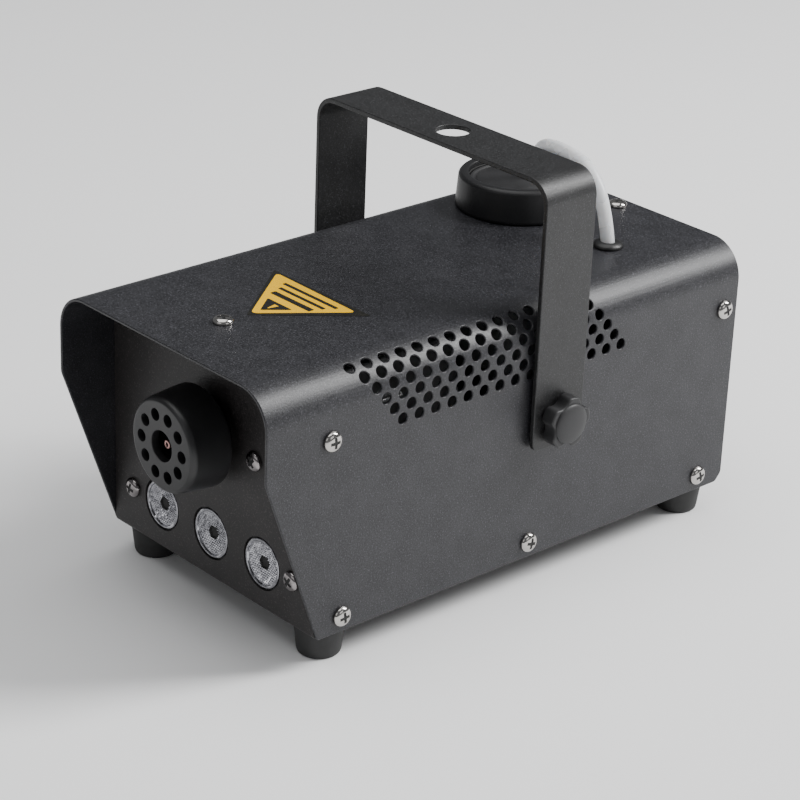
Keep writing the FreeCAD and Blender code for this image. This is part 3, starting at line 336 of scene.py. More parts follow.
def lens_optic(name):
    """Silvered moulded optic: bright facets under a clear skin."""
    s = Shader(name)
    haze = s.noise(2.2, detail=2)
    s.color(s.blend(s.remap(haze, 0.35, 0.7, 0, 1), (0.50, 0.50, 0.53), (0.22, 0.22, 0.24)))
    s.roughness(s.remap(haze, 0.3, 0.7, 0.07, 0.15))
    s.set(Metallic=0.9, Coat_Weight=0.5, Coat_Roughness=0.04, IOR=1.49)
    return s.material


def board_mask(name, tint):
    """Circuit board: solder mask over a faint grid of tracks."""
    s = Shader(name)
    tracks = s.noise(2.5, detail=0, stretch=(1, 3, 1))
    lines = s.remap(tracks, 0.48, 0.52, 0, 1)
    s.color(s.blend(lines, tint, tuple(min(c * 1.7 + 0.01, 1) for c in tint)))
    s.roughness(s.remap(lines, 0, 1, 0.35, 0.25))
    s.bump([(lines, 0.03)], strength=0.4)
    return s.material


def film(name, tint, deep):
    """Printed sticker film: slight ink mottling and a satin face."""
    s = Shader(name)
    ink = s.noise(1.6, detail=4)
    s.color(s.blend(s.remap(ink, 0.35, 0.7, 0, 1), tint, deep))
    s.roughness(s.remap(ink, 0.3, 0.7, 0.42, 0.52))
    s.bump([(s.noise(0.5, detail=2), 0.004)], strength=0.4)
    s.set(Specular_IOR_Level=0.2)
    return s.material


COAT = powder_coat("black_coat", (0.006, 0.006, 0.008), (0.027, 0.027, 0.031))
STRAP_COAT = powder_coat("strap_coat", (0.004, 0.004, 0.004), (0.017, 0.017, 0.018), 0.45)
WALL_COAT = powder_coat("wall_coat", (0.009, 0.008, 0.008), (0.022, 0.019, 0.019), 0.5)
PLASTIC = moulded("black_plastic", (0.017, 0.017, 0.018))
# A darker, glossier copy of black_plastic for the guard under the hood: the extra darkness is painted shade.
SHADED_GUARD = moulded("guard_plastic_painted_shade", (0.013, 0.013, 0.014), 0.40, 0.5, 0.015)
# Near-black for painted shade: the dark plates in the screws' cross recesses and the dark discs in the lens pits.
SHADE_BLACK = moulded("painted_shade_black", (0.006, 0.006, 0.006), 0.6, 0.4, 0.01)
GLOSS_CAP = moulded("cap_plastic", (0.006, 0.006, 0.007), 0.44, 0.8, 0.006)
GROMMET_RUBBER = rubber("grommet_rubber", (0.009, 0.009, 0.009), 0.36)
GLOSS = moulded("gloss_black", (0.015, 0.015, 0.016), 0.18, 1.5, 0.004)
RUBBER = rubber("black_rubber", (0.020, 0.020, 0.020))
SILICONE = silicone("silicone")
OPTIC = lens_optic("lens_optic")
NICKEL = metal("nickel", (0.52, 0.50, 0.48), 0.10, (1, 1, 1), 0.8)
DARK_NICKEL = metal("dark_nickel", (0.30, 0.28, 0.28), 0.14, (1, 1, 1), 0.8)
STEEL = metal("steel", (0.60, 0.60, 0.61), 0.30)
ALUMINIUM = metal("cast_aluminium", (0.66, 0.66, 0.67), 0.48, (1, 1, 1), 0.7, depth=0.03)
BRASS = metal("brass", (0.78, 0.55, 0.28), 0.22)
COPPER = metal("copper", (0.46, 0.27, 0.25), 0.20, (1, 1, 1), 0.8)
NYLON = moulded("white_plastic", (0.74, 0.73, 0.69), 0.45, 0.6, 0.008, 0.05)
BOTTLE = moulded("bottle", (0.72, 0.74, 0.73), 0.38, 2.0, 0.02, 0.06)
COIL = moulded("coil", (0.05, 0.10, 0.24), 0.4)
BOARD = board_mask("board", (0.02, 0.14, 0.05))
LAMP_BOARD = board_mask("lamp_board", (0.62, 0.62, 0.60))
EMITTER = moulded("emitter", (0.80, 0.68, 0.22), 0.3, 0.3, 0.01, 0.1)
RED = moulded("red_lens", (0.45, 0.02, 0.02), 0.12, 2.0, 0.002, 0.2)
YELLOW = film("yellow_film", (0.90, 0.52, 0.001), (0.84, 0.47, 0.001))
INK = film("black_film", (0.012, 0.012, 0.010), (0.020, 0.019, 0.016))


# ---------------------------------------------------------------- mesh helpers

def mesh_object(name, verts, faces):
    """A linked object from points in millimetres, with its faces turned outwards."""
    mesh = bpy.data.meshes.new(name)
    mesh.from_pydata([(x * MM, y * MM, z * MM) for x, y, z in verts], [], faces)
    mesh.validate()
    shape = bmesh.new()
    shape.from_mesh(mesh)
    bmesh.ops.recalc_face_normals(shape, faces=shape.faces)
    shape.to_mesh(mesh)
    shape.free()
    item = bpy.data.objects.new(name, mesh)
    bpy.context.scene.collection.objects.link(item)
    return item


def piece(name, verts, faces, material, body, replaces=(), slot=None, sharp=35):
    """A mesh that rides on a CAD body and may stand in for CAD nodes."""
    item = mesh_object(name, verts, faces)
    item.data.materials.append(material)
    for polygon in item.data.polygons:
        polygon.use_smooth = True
    item.data.set_sharp_from_angle(angle=math.radians(sharp))
    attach(item, body)
    if replaces:
        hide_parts(*replaces)
    return item


class Solid:
    """Points and faces gathered from several simple forms."""

    def __init__(self):
        self.verts = []
        self.faces = []

    def add(self, verts, faces, place=None):
        start = len(self.verts)
        self.verts += [tuple(place @ Vector(v)) if place else tuple(v) for v in verts]
        self.faces += [tuple(i + start for i in face) for face in faces]
        return self

    def piece(self, name, material, body="root", replaces=(), slot=None, sharp=35):
        return piece(name, self.verts, self.faces, material, body, replaces, slot, sharp)


def along(spot, direction, spin=0.0):
    """A transform that takes +Z to the direction and the origin to the spot."""
    turn = Vector((0, 0, 1)).rotation_difference(Vector(direction)).to_matrix().to_4x4()
    return Matrix.Translation(Vector(spot)) @ turn @ Matrix.Rotation(spin, 4, "Z")


def soften(outline, radius, steps=3, closed=False):
    """Round the corners of a 2-D outline of (x, y) points."""
    spots = [Vector(p) for p in outline]
    count = len(spots)
    made = []
    for n, spot in enumerate(spots):
        if not closed and n in (0, count - 1):
            made.append(tuple(spot))
            continue
        before = spots[n - 1] - spot
        after = spots[(n + 1) % count] - spot
        reach = min(radius, 0.45 * before.length, 0.45 * after.length)
        start = spot + before.normalized() * reach
        end = spot + after.normalized() * reach
        for k in range(steps + 1):
            t = k / steps
            curve = start * (1 - t) ** 2 + spot * 2 * t * (1 - t) + end * t * t
            made.append(tuple(curve))
    return made


def lathe(profile, segments=64):
    """Turn a (radius, height) profile about Z. Points on the axis become poles."""
    verts = []
    faces = []
    rings = []
    for radius, height in profile:
        if radius < 1e-6:
            rings.append([len(verts)])
            verts.append((0, 0, height))
            continue
        rings.append(list(range(len(verts), len(verts) + segments)))
        for k in range(segments):
            turn = 2 * math.pi * k / segments
            verts.append((radius * math.cos(turn), radius * math.sin(turn), height))
    closed = profile[0][0] > 1e-6 and profile[-1][0] > 1e-6
    pairs = list(zip(rings, rings[1:])) + ([(rings[-1], rings[0])] if closed else [])
    for low, high in pairs:
        for k in range(segments):
            following = (k + 1) % segments
            if len(low) == 1:
                faces.append((low[0], high[k], high[following]))
            elif len(high) == 1:
                faces.append((low[k], low[following], high[0]))
            else:
                faces.append((low[k], low[following], high[following], high[k]))
    return verts, faces


def circle_points(x, y, radius, count=32):
    turns = [2 * math.pi * k / count for k in range(count)]
    return [(x + radius * math.cos(t), y + radius * math.sin(t)) for t in turns]


def shrink(loop, inset):
    """Move each side of a closed outline by the inset, to the left of its direction."""
    count = len(loop)
    moved = []
    for n in range(count):
        here = Vector(loop[n])
        first = (here - Vector(loop[n - 1])).normalized()
        second = (Vector(loop[(n + 1) % count]) - here).normalized()
        normal = Vector((-first.y, first.x)) + Vector((-second.y, second.x))
        normal /= max(normal.length_squared, 1e-9) / 2
        moved.append(tuple(here + normal * inset))
    return moved


def is_inside(spot, loop):
    x, y = spot
    inside = False
    for (x1, y1), (x2, y2) in zip(loop, loop[1:] + loop[:1]):
        if (y1 > y) != (y2 > y) and x < (x2 - x1) * (y - y1) / (y2 - y1) + x1:
            inside = not inside
    return inside


def sheet(outline, holes, bends, place, gauge=GAUGE, edge=EDGE):
    """Sheet metal with rounded-off edges, cut flat and then bent.

    The outline runs counter-clockwise in the flat, holes are (x, y, radius) or outlines of
    points, bends are lines of constant x that the flat is divided along, and
    place(x, y, depth) bends a point: depth 0 is the outer face.
    """
    loops = [shrink(outline, edge)]
    rounds = []
    for hole in holes:
        if len(hole) == 3 and isinstance(hole[0], (int, float)):
            x, y, radius = hole
            rounds.append((x, y, radius + edge))
            count = 48 if radius > 5 else 28
            loops.append(circle_points(x, y, radius + edge, count)[::-1])
        else:
            loops.append(shrink(hole[::-1], edge))
    spots = []
    edges = []
    for loop in loops:
        start = len(spots)
        spots += [Vector(p) for p in loop]
        edges += [(start + n, start + (n + 1) % len(loop)) for n in range(len(loop))]
    low = min(p.y for p in spots) - 5
    high = max(p.y for p in spots) + 5
    for x in bends:
        edges.append((len(spots), len(spots) + 1))
        spots += [Vector((x, low)), Vector((x, high))]
    flat, _, triangles, *_ = delaunay_2d_cdt(spots, edges, [], 0, 1e-5)
    cut_outs = [loop for loop, hole in zip(loops[1:], holes) if len(hole) != 3]
    kept = []
    for face in triangles:
        x = sum(flat[i].x for i in face) / len(face)
        y = sum(flat[i].y for i in face) / len(face)
        if any((x - cx) ** 2 + (y - cy) ** 2 < (r * 0.999) ** 2 for cx, cy, r in rounds):
            continue
        if is_inside((x, y), loops[0]) and not any(is_inside((x, y), c) for c in cut_outs):
            kept.append(tuple(face))
    return close_sheet(flat, kept, place, gauge, edge)


def close_sheet(flat, kept, place, gauge, edge):
    """Outer face, inner face, and a rounded rim along every border of the kept faces."""
    sides = dict.fromkeys((start, face[(n + 1) % len(face)])
                          for face in kept for n, start in enumerate(face))
    border = {a: b for a, b in sides if (b, a) not in sides}
    before = {b: a for a, b in border.items()}
    used = sorted({i for face in kept for i in face})
    verts = []
    outer = {}
    inner = {}
    for i in used:
        outer[i] = len(verts)
        verts.append(place(flat[i].x, flat[i].y, 0.0))
        inner[i] = len(verts)
        verts.append(place(flat[i].x, flat[i].y, gauge))
    faces = [tuple(outer[i] for i in face) for face in kept]
    faces += [tuple(inner[i] for i in reversed(face)) for face in kept]
    steps = ((0.5, 0.134), (0.866, 0.5), (1.0, 1.0))
    rim = {}
    for i in border:
        first = (flat[i] - flat[before[i]]).normalized()
        second = (flat[border[i]] - flat[i]).normalized()
        normal = Vector((first.y, -first.x)) + Vector((second.y, -second.x))
        normal /= max(normal.length_squared, 0.5) / 2
        column = [outer[i]]
        levels = [(out, down * edge) for out, down in steps]
        levels += [(out, gauge - down * edge) for out, down in reversed(steps)]
        for out, depth in levels:
            spot = flat[i] + normal * edge * out
            column.append(len(verts))
            verts.append(place(spot.x, spot.y, depth))
        rim[i] = column + [inner[i]]
    for i, following in border.items():
        for (a, b), (c, d) in zip(zip(rim[i], rim[i][1:]), zip(rim[following], rim[following][1:])):
            faces.append((a, b, d, c))
    return verts, faces


def apply_modifiers(item):
    """Make the modifiers so far part of the mesh, so that cutters can be removed."""
    depsgraph = bpy.context.evaluated_depsgraph_get()
    made = bpy.data.meshes.new_from_object(item.evaluated_get(depsgraph))
    item.modifiers.clear()
    item.data = made


def carve(item, cutter, round_off=0.0, angle=40):
    """Cut the gathered cutter out of a piece and round the new edges off."""
    tool = mesh_object("cutter", cutter.verts, cutter.faces)
    cut = item.modifiers.new("cut", "BOOLEAN")
    cut.object = tool
    cut.solver = "EXACT"
    cut.use_self = True
    apply_modifiers(item)
    bpy.data.objects.remove(tool)
    if round_off:
        bevel_edges(item, round_off, angle)


def bevel_edges(item, width_mm, angle=40, segments=2):
    bevel = item.modifiers.new("rounded_edges", "BEVEL")
    bevel.width = width_mm * MM
    bevel.segments = segments
    bevel.limit_method = "ANGLE"
    bevel.angle_limit = math.radians(angle)
    bevel.harden_normals = True
    bevel.miter_outer = "MITER_ARC"


def weigh_normals(item):
    """Keep flat faces flat next to their rounded rims."""
    weigh = item.modifiers.new("flat_faces", "WEIGHTED_NORMAL")
    weigh.mode = "FACE_AREA"
    weigh.weight = 100
    weigh.keep_sharp = True


class Fold:
    """The outer line of a bent strip: straights, and quarter bends that turn right."""

    def __init__(self, start, heading, runs):
        self.runs = []
        self.lines = []
        spot = Vector(start)
        heading = Vector(heading)
        s = 0.0
        for kind, measure in runs:
            right = Vector((heading.y, -heading.x))
            self.runs.append((s, kind, measure, spot.copy(), heading.copy(), right))
            if kind == "straight":
                spot += heading * measure
                s += measure
            else:
                arc = measure * math.pi / 2
                steps = max(6, round(measure * 1.1))
                self.lines += [s + arc * k / steps for k in range(steps + 1)]
                spot += right * measure + heading * measure
                heading = right
                s += arc
        self.length = s

    def at(self, s, depth):
        start, kind, measure, spot, heading, right = self.runs[0]
        for run in self.runs[1:]:
            if s >= run[0]:
                start, kind, measure, spot, heading, right = run
        if kind == "straight":
            return spot + heading * (s - start) + right * depth
        turn = (s - start) / measure
        reach = measure - depth
        return spot + right * (measure - reach * math.cos(turn)) + heading * reach * math.sin(turn)


# ---------------------------------------------------------------- sheet metal

def make_cover():
    """Folded U-shaped cover with its vents, screw holes and slanted hood."""
    upright = ROOF - COVER_BEND - BASE
    fold = Fold((-SIDE, BASE), (0, 1), (("straight", upright), ("bend", COVER_BEND),
                ("straight", 2 * (SIDE - COVER_BEND)), ("bend", COVER_BEND), ("straight", upright)))
    toe = FRONT + HOOD_TOE
    knee = HOOD_KNEE
    end = fold.length
    outline = [(0, toe), (knee, HOOD), (end - knee, HOOD), (end, toe), (end, TAIL - 3),
               (end - 3.5, TAIL), (3.5, TAIL), (0, TAIL - 3)]
    outline = soften(outline, 1.0, 3, closed=True)
    holes = []
    for depth, height in SIDE_SCREWS:
        holes += [(s, FRONT + depth, SCREW_HOLE_R) for s in (height, end - height)]
    for s in (PIVOT_Z - BASE, end - PIVOT_Z + BASE):
        holes.append((s, PIVOT_Y, PIVOT_HOLE_R))
    middle = end / 2
    for depth in TOP_SCREWS:
        holes.append((middle, FRONT + depth, SCREW_HOLE_R))
    holes.append((middle + GROMMET_X, GROMMET_Y, GROMMET_HOLE_R))
    holes.append((middle + CAP_X, CAP_Y, TANK_HOLE_R))
    for row in range(VENT_ROWS):
        climb = upright + VENT_CLIMB - VENT_DROP * row
        for n in range(VENTS_PER_ROW):
            y = FRONT + VENT_START + VENT_SHIFT * row + VENT_PITCH * n
            holes += [(climb, y, VENT_R), (end - climb, y, VENT_R)]

    def place(s, y, depth):
        spot = fold.at(s, depth)
        return spot.x, y, spot.y

    verts, faces = sheet(outline, holes, fold.lines, place, GAUGE, COVER_EDGE)
    item = piece("cover_shell", verts, faces, COAT, "root", ["top_cover"], "black_coat")
    weigh_normals(item)


def make_chassis():
    """One sheet folded into rear wall, floor and front wall, with the flanges for the screws."""
    low = BASE + 0.1
    top = ROOF - GAUGE - 0.1
    wide = SIDE - GAUGE - 0.1
    heel = 2.0
    fold = Fold((REAR, top), (0, -1), (("straight", top - low - heel), ("bend", heel),
                ("straight", REAR - FRONT - 2 * heel), ("bend", heel), ("straight", top - low - heel)))
    end = fold.length
    corner = COVER_BEND - GAUGE

    def rounded_end(s, sign):
        """The two top corners of a wall, from one side to the other."""
        made = []
        for side in (-sign, sign):
            turns = [k / 6 * math.pi / 2 for k in range(7)]
            if side == sign:
                turns = turns[::-1]
            for turn in turns:
                inset = corner * (1 - math.sin(turn))
                made.append((s - sign * inset, side * (wide - corner + corner * math.cos(turn))))
        return made

    outline = rounded_end(end, 1) + rounded_end(0, -1)
    front_holes = [(x, LENS_Z, LENS_HOLE_R) for x in LENS_XS] + [(0, AXIS_Z, NECK_HOLE_R)]
    front_holes += [(x, BASE + height, SCREW_HOLE_R) for x, height in LAMP_SCREWS + CAP_SCREWS]
    holes = [(end - (top - z), x, radius) for x, z, radius in front_holes]
    holes += [(top - INLET.z, INLET.x + dx, FLANGE_HOLE_R) for dx in (-20, 20)]
    holes += [(top - SOCKET.z, SOCKET.x, SOCKET_HOLE_R), (top - READY.z, READY.x, READY_HOLE_R)]
    for spot, (half_x, half_z) in ((INLET, INLET_HALF), (SWITCH, SWITCH_HALF)):
        s, x = top - spot.z, spot.x
        holes.append([(s - half_z, x - half_x), (s + half_z, x - half_x),
                      (s + half_z, x + half_x), (s - half_z, x + half_x)])

    def place(s, x, depth):
        spot = fold.at(s, depth)
        return x, spot.x, spot.y

    verts, faces = sheet(outline, holes, fold.lines, place)
    item = piece("chassis_shell", verts, faces, WALL_COAT, "root", ["chassis"], "black_coat")
    weigh_normals(item)
    flanges = Solid()
    floor = low + GAUGE
    for side in (-1, 1):
        for y0, y1, z0, z1 in ((FRONT + 4, REAR - 4, floor - 0.5, floor + 12),
                               (FRONT + 0.6, FRONT + 14, BASE + 60, ROOF - 20),
                               (REAR - 14, REAR - 0.6, BASE + 60, ROOF - 20)):
            slab(flanges, (side * (wide - GAUGE), y0, z0), (side * wide, y1, z1))
    for y0, y1 in ((FRONT + 0.6, FRONT + 14), (REAR - 14, REAR - 0.6)):
        slab(flanges, (-30, y0, top - GAUGE), (30, y1, top))
    bevel_edges(flanges.piece("chassis_flanges", WALL_COAT, slot="black_coat"), 0.25)


def slab(solid, first, second):
    """Add a block between two corners."""
    (x0, x1), (y0, y1), (z0, z1) = (sorted(pair) for pair in zip(first, second))
    verts = [(x, y, z) for z in (z0, z1) for y in (y0, y1) for x in (x0, x1)]
    faces = [(0, 1, 3, 2), (4, 6, 7, 5), (0, 4, 5, 1), (2, 3, 7, 6), (0, 2, 6, 4), (1, 5, 7, 3)]
    solid.add(verts, faces)


def make_yoke():
    """Flat strap bent into a U, with the hanging hole in its middle and rounded toes."""
    gauge = 2.0
    bend = 9.5
    toe = 4.0
    arm = yoke_high.z - bend - yoke_low.z
    fold = Fold((yoke_low.x, yoke_low.z), (0, 1), (("straight", arm), ("bend", bend),
                ("straight", yoke_high.x - yoke_low.x - 2 * bend), ("bend", bend), ("straight", arm)))
    end = fold.length
    low, high = yoke_low.y, yoke_high.y
    outline = [(0, low), (end, low), (end, high), (0, high)]
    outline = soften(outline, toe, 8, closed=True)
    reach = PIVOT_Z - yoke_low.z
    holes = [(reach, PIVOT_Y, 3.35), (end - reach, PIVOT_Y, 3.35), (end / 2, PIVOT_Y, HANG_HOLE_R)]

    def place(s, y, depth):
        spot = fold.at(s, depth)
        return spot.x, y, spot.y

    verts, faces = sheet(outline, holes, fold.lines, place, gauge, STRAP_EDGE)
    item = piece("yoke_strap", verts, faces, STRAP_COAT, "yoke", ["yoke"], "black_coat")
    weigh_normals(item)


# ---------------------------------------------------------------- screws

def pan_head(radius, rise, shank_r, shank):
    """Pan-head screw standing on its underside, with a cross recess cut into its dome."""
    profile = [(0, -shank), (shank_r - 0.4, -shank), (shank_r, 0.4 - shank), (shank_r, -0.1),
               (radius - 0.25, 0), (radius, 0.22), (radius, 0.55)]
    steps = 9
    for k in range(1, steps + 1):
        turn = k / steps * math.pi / 2
        out = (radius - 0.05) * math.cos(turn) ** 0.75
        profile.append((max(out, 0), 0.55 + (rise - 0.55) * math.sin(turn)))
    head = Solid().add(*lathe(profile, 40)).piece("screw_blank", NICKEL)
    cross = Solid()
    for spin in (0, math.pi / 2):
        turn = Matrix.Rotation(spin, 4, "Z")
        long, wide, deep = 2.6, 0.64, 1.8
        verts = [(x * long, y * wide, rise + 0.4) for x, y in ((-1, -1), (1, -1), (1, 1), (-1, 1))]
        verts += [(x * long * 0.42, y * wide * 0.6, rise - deep)
                  for x, y in ((-1, -1), (1, -1), (1, 1), (-1, 1))]
        faces = [(0, 1, 2, 3), (7, 6, 5, 4), (0, 4, 5, 1), (1, 5, 6, 2), (2, 6, 7, 3), (3, 7, 4, 0)]
        cross.add(verts, faces, turn)
    pilot = lathe([(0, rise + 0.4), (0.95, rise + 0.1), (0.5, rise - 1.2), (0, rise - 1.2)], 16)
    carve(head, Solid().add(*pilot))
    carve(head, cross, 0.09, 45)
    apply_modifiers(head)
    mesh = head.data
    verts = [tuple(v.co / MM) for v in mesh.vertices]
    faces = [tuple(p.vertices) for p in mesh.polygons]
    bpy.data.objects.remove(head)
    return verts, faces


def painted_recess_shade(rise):
    """Dark plates laid into the cross recess as painted shade; the recess itself is cut into the nickel head."""
    verts = []
    faces = []
    low, high = rise - 1.5, rise - 0.30
    for long, wide, lift in ((2.45, 0.62, 0.0), (0.62, 2.45, 0.02)):
        start = len(verts)
        corners = ((-long, -wide), (long, -wide), (long, wide), (-long, wide))
        verts += [(x * 0.5, y * 0.5, low) for x, y in corners]
        verts += [(x * 0.86, y * 0.86, high + lift) for x, y in corners]
        for face in ((0, 3, 2, 1), (4, 5, 6, 7), (0, 1, 5, 4), (1, 2, 6, 5), (2, 3, 7, 6), (3, 0, 4, 7)):
            faces.append(tuple(start + n for n in face))
    return verts, faces


def make_screws():
    rng = random.Random(7)
    rise = 2.3
    head = pan_head(3.9, rise, 1.9, 6)
    # dark plates that paint the shade inside each cross recess
    recess = painted_recess_shade(rise)
    cover_spots = [((0, FRONT + depth, ROOF), (0, 0, 1)) for depth in TOP_SCREWS]
    cover_spots += [((side * SIDE, FRONT + depth, BASE + height), (side, 0, 0))
                    for side in (-1, 1) for depth, height in SIDE_SCREWS]
    front_spots = [((x, FRONT, BASE + height), (0, -1, 0)) for x, height in LAMP_SCREWS + CAP_SCREWS]
    for label, spots, material, node, slot in (
            ("cover", cover_spots, NICKEL, "cover_screws", "nickel"),
            ("front", front_spots, DARK_NICKEL, "front_screws", "dark_nickel")):
        heads = Solid()
        # near-black plates of painted shade, one set per screw recess
        recess_shades = Solid()
        for spot, direction in spots:
            place = along(spot, direction, rng.uniform(0, math.pi))
            heads.add(*head, place)
            recess_shades.add(*recess, place)
        heads.piece(f"{label}_pan_heads", material, "root", [node], slot, 50)
        recess_shades.piece(f"{label}_recesses", SHADE_BLACK, "root", (), slot, 30)


# ---------------------------------------------------------------- nozzle guard and lamps

def make_nozzle_guard():
    """Round guard: slightly tapered cup on a neck, an eye and ten round holes in its face."""
    rim = (nozzle_high.x - nozzle_low.x) / 2
    length = FRONT - nozzle_low.y
    back = 5.6
    neck = 11.5
    front_r = 18.2
    ring_r = 11.7
    hole_r = 2.4
    hole_count = 10
    profile = [(neck - 3, -8.2), (neck, -8.2), (neck, back - 0.2), (neck + 0.2, back),
               (rim - 0.45, back),
               (rim - 0.12, back + 0.15), (rim, back + 0.5), (rim - 0.1, back + 4),
               (front_r, length - 2.7), (front_r - 0.22, length - 1.7), (front_r - 0.7, length - 0.8),
               (front_r - 1.3, length - 0.2), (front_r - 1.9, length), (6.3, length),
               (5.95, length - 0.12), (5.8, length - 0.45), (5.8, length - 3), (15.2, length - 3),
               (15.5, length - 3.4), (15.5, back + 3), (neck - 3, back + 3)]
    place = along((0, FRONT, AXIS_Z), (0, -1, 0))
    # the guard takes the darker copy of black plastic, darkened as painted shade from the hood
    guard = Solid().add(*lathe(profile, 144), place).piece(
        "nozzle_guard", SHADED_GUARD, "root", ["nozzle_cap"], "black_plastic", 40)
    drill = Solid()
    pin = [(0, length - 5), (hole_r, length - 5), (hole_r, length + 2), (0, length + 2)]
    for n in range(hole_count):
        turn = 2 * math.pi * n / hole_count
        x, y = ring_r * math.cos(turn), ring_r * math.sin(turn)
        drill.add(*lathe(pin, 36), place @ Matrix.Translation((x, y, 0)))
    carve(guard, drill, 0.22, 50)
    weigh_normals(guard)


def lens_face(radius, pit, cell, rng):
    """Honeycomb of small six-sided pyramids between the lens's rim and its middle pit."""
    verts = []
    faces = []
    rise = 0.5
    bowl = 0.9
    rows = int(radius / (cell * 0.866)) + 2
    for row in range(-rows, rows + 1):
        for column in range(-rows, rows + 1):
            x = (column + 0.5 * (row % 2)) * cell
            y = row * cell * 0.866
            reach = math.hypot(x, y)
            if reach > radius - cell * 0.45 or reach < pit + cell * 0.35:
                continue
            start = len(verts)
            lean_x, lean_y = rng.uniform(-0.16, 0.16) * cell, rng.uniform(-0.16, 0.16) * cell
            sink = bowl * (reach * reach / (radius * radius) - 1)
            verts.append((x + lean_x, y + lean_y, sink + rise * rng.uniform(0.7, 1.15)))
            for k in range(6):
                turn = math.radians(30 + 60 * k)
                u, v = x + cell * 0.577 * math.cos(turn), y + cell * 0.577 * math.sin(turn)
                verts.append((u, v, bowl * ((u * u + v * v) / (radius * radius) - 1)))
            faces += [(start, start + 1 + k, start + 1 + (k + 1) % 6) for k in range(6)]
    return verts, faces


def make_lenses():
    """Three moulded optics: bright rim, faceted face, and a dark disc that paints shade into the pit over the
    emitter.
    """
    rng = random.Random(21)
    rims = Solid()
    facets = Solid()
    pit_shades = Solid()
    r = LENS_R
    for x in LENS_XS:
        place = along((x, lens_low.y, LENS_Z), (0, -1, 0))
        rim = [(0, -2.4), (2.2, -2.4), (2.2, -1.6), (2.6, -1.5), (r - 1.2, -0.65), (r - 0.95, -0.12),
               (r - 0.7, 0.0), (r - 0.25, 0.0), (r - 0.05, -0.12), (r, -0.35), (r, -2.9),
               (8.4, -3.1), (4.2, -10.1), (3, -10.1), (3, -7.5), (0, -7.5)]
        rims.add(*lathe(rim, 72), place)
        facets.add(*lens_face(r - 1.2, 2.4, 1.05, rng), place @ Matrix.Translation((0, 0, -0.6)))
        # near-black disc over the emitter: painted shade of the pit
        pit_shades.add(*lathe([(0, -1.7), (2.1, -1.7), (2.5, -1.15), (2.75, -1.05), (2.75, -1.6), (2.3, -1.9),
                         (0, -1.9)], 6), place)
    rims.piece("lens_bodies", OPTIC, "root", ["lamp_lenses"], "lens", 25)
    facets.piece("lens_facets", OPTIC, "root", (), "lens", 5)
    pit_shades.piece("lens_pit_shades", SHADE_BLACK, "root", (), "lens", 20)


def make_nozzle_tip():
    """Turned jet behind the guard's eye, tapering to a small bright mouth."""
    tip_y = box_mm("nozzle")[0].y
    profile = [(0.7, -52), (4, -52), (4, -44), (5, -44), (5, -39), (3.6, -38), (3.6, -6.5), (1.75, -0.5),
               (1.6, -0.12), (1.35, 0), (0.95, 0), (0.7, -0.2)]
    place = along((0, tip_y, AXIS_Z), (0, -1, 0))
    Solid().add(*lathe(profile, 48), place).piece("jet", COPPER, "root", ["nozzle"], "brass", 30)


# ---------------------------------------------------------------- sticker

def plate(solid, outline, low, high):
    """Add a thin flat plate with this outline."""
    count = len(outline)
    verts = [(x, y, z) for z in (low, high) for x, y in outline]
    faces = [tuple(range(count))[::-1], tuple(range(count, 2 * count))]
    faces += [(n, (n + 1) % count, count + (n + 1) % count, count + n) for n in range(count)]
    solid.add(verts, faces)


def make_sticker():
    """Printed triangle: black border, yellow field, a spray pictogram and plain bars."""
    def at(points):
        return [(x, FRONT + depth) for x, depth in points]

    border = Solid()
    plate(border, soften(at([(0, 15.5), (27.5, 50.6), (-27.5, 50.6)]), 1.2, 4, True), ROOF, ROOF + 0.10)
    border.piece("sticker_border", INK, "root", ["top_sticker"], "yellow_film", 60)
    field = Solid()
    yellow = soften(at([(-0.4, 17.6), (21.9, 48.4), (-24.6, 49.4)]), 3.0, 6, True)
    plate(field, yellow, ROOF + 0.02, ROOF + 0.14)
    field.piece("sticker_field", YELLOW, "root", (), "yellow_film", 60)
    marks = Solid()
    low, high = ROOF + 0.04, ROOF + 0.17
    plate(marks, soften(at([(-0.6, 22.2), (6.4, 31.4), (-7.6, 31.4)]), 0.9, 4, True), low, high)
    for half, depth, thick in ((11.0, 35.2, 2.6), (12.6, 40.2, 1.7), (15.0, 44.2, 1.7)):
        bar = [(-half, depth), (half, depth), (half, depth + thick), (-half, depth + thick)]
        plate(marks, soften(at(bar), 0.4, 2, True), low, high)
    marks.piece("sticker_marks", INK, "root", (), "yellow_film", 60)
    spray = Solid()
    plate(spray, at([(-1.4, 29.6), (-0.5, 25.4), (0.0, 25.4), (0.9, 29.6)]), low + 0.02, high + 0.03)
    spray.piece("sticker_pictogram", YELLOW, "root", (), "yellow_film", 60)


# ---------------------------------------------------------------- knobs

def lobe_radius(turn, inset, knob_r=10.1, scoop_r=4.1, scoop_at=12.1, blend=1.3):
    """Distance from the axis to the knob's edge, moved inwards by the inset."""
    def depth(radius):
        x, y = radius * math.cos(turn), radius * math.sin(turn)
        rim = knob_r - radius
        nearest = min(math.hypot(x - scoop_at * math.cos(a), y - scoop_at * math.sin(a))
                      for a in SCOOP_TURNS)
        scoop = nearest - scoop_r
        overlap = max(blend - abs(rim - scoop), 0) / blend
        return min(rim, scoop) - overlap * overlap * blend / 4

    low, high = 0.0, knob_r
    for _ in range(30):
        middle = (low + high) / 2
        if depth(middle) > inset:
            low = middle
        else:
            high = middle
    return low


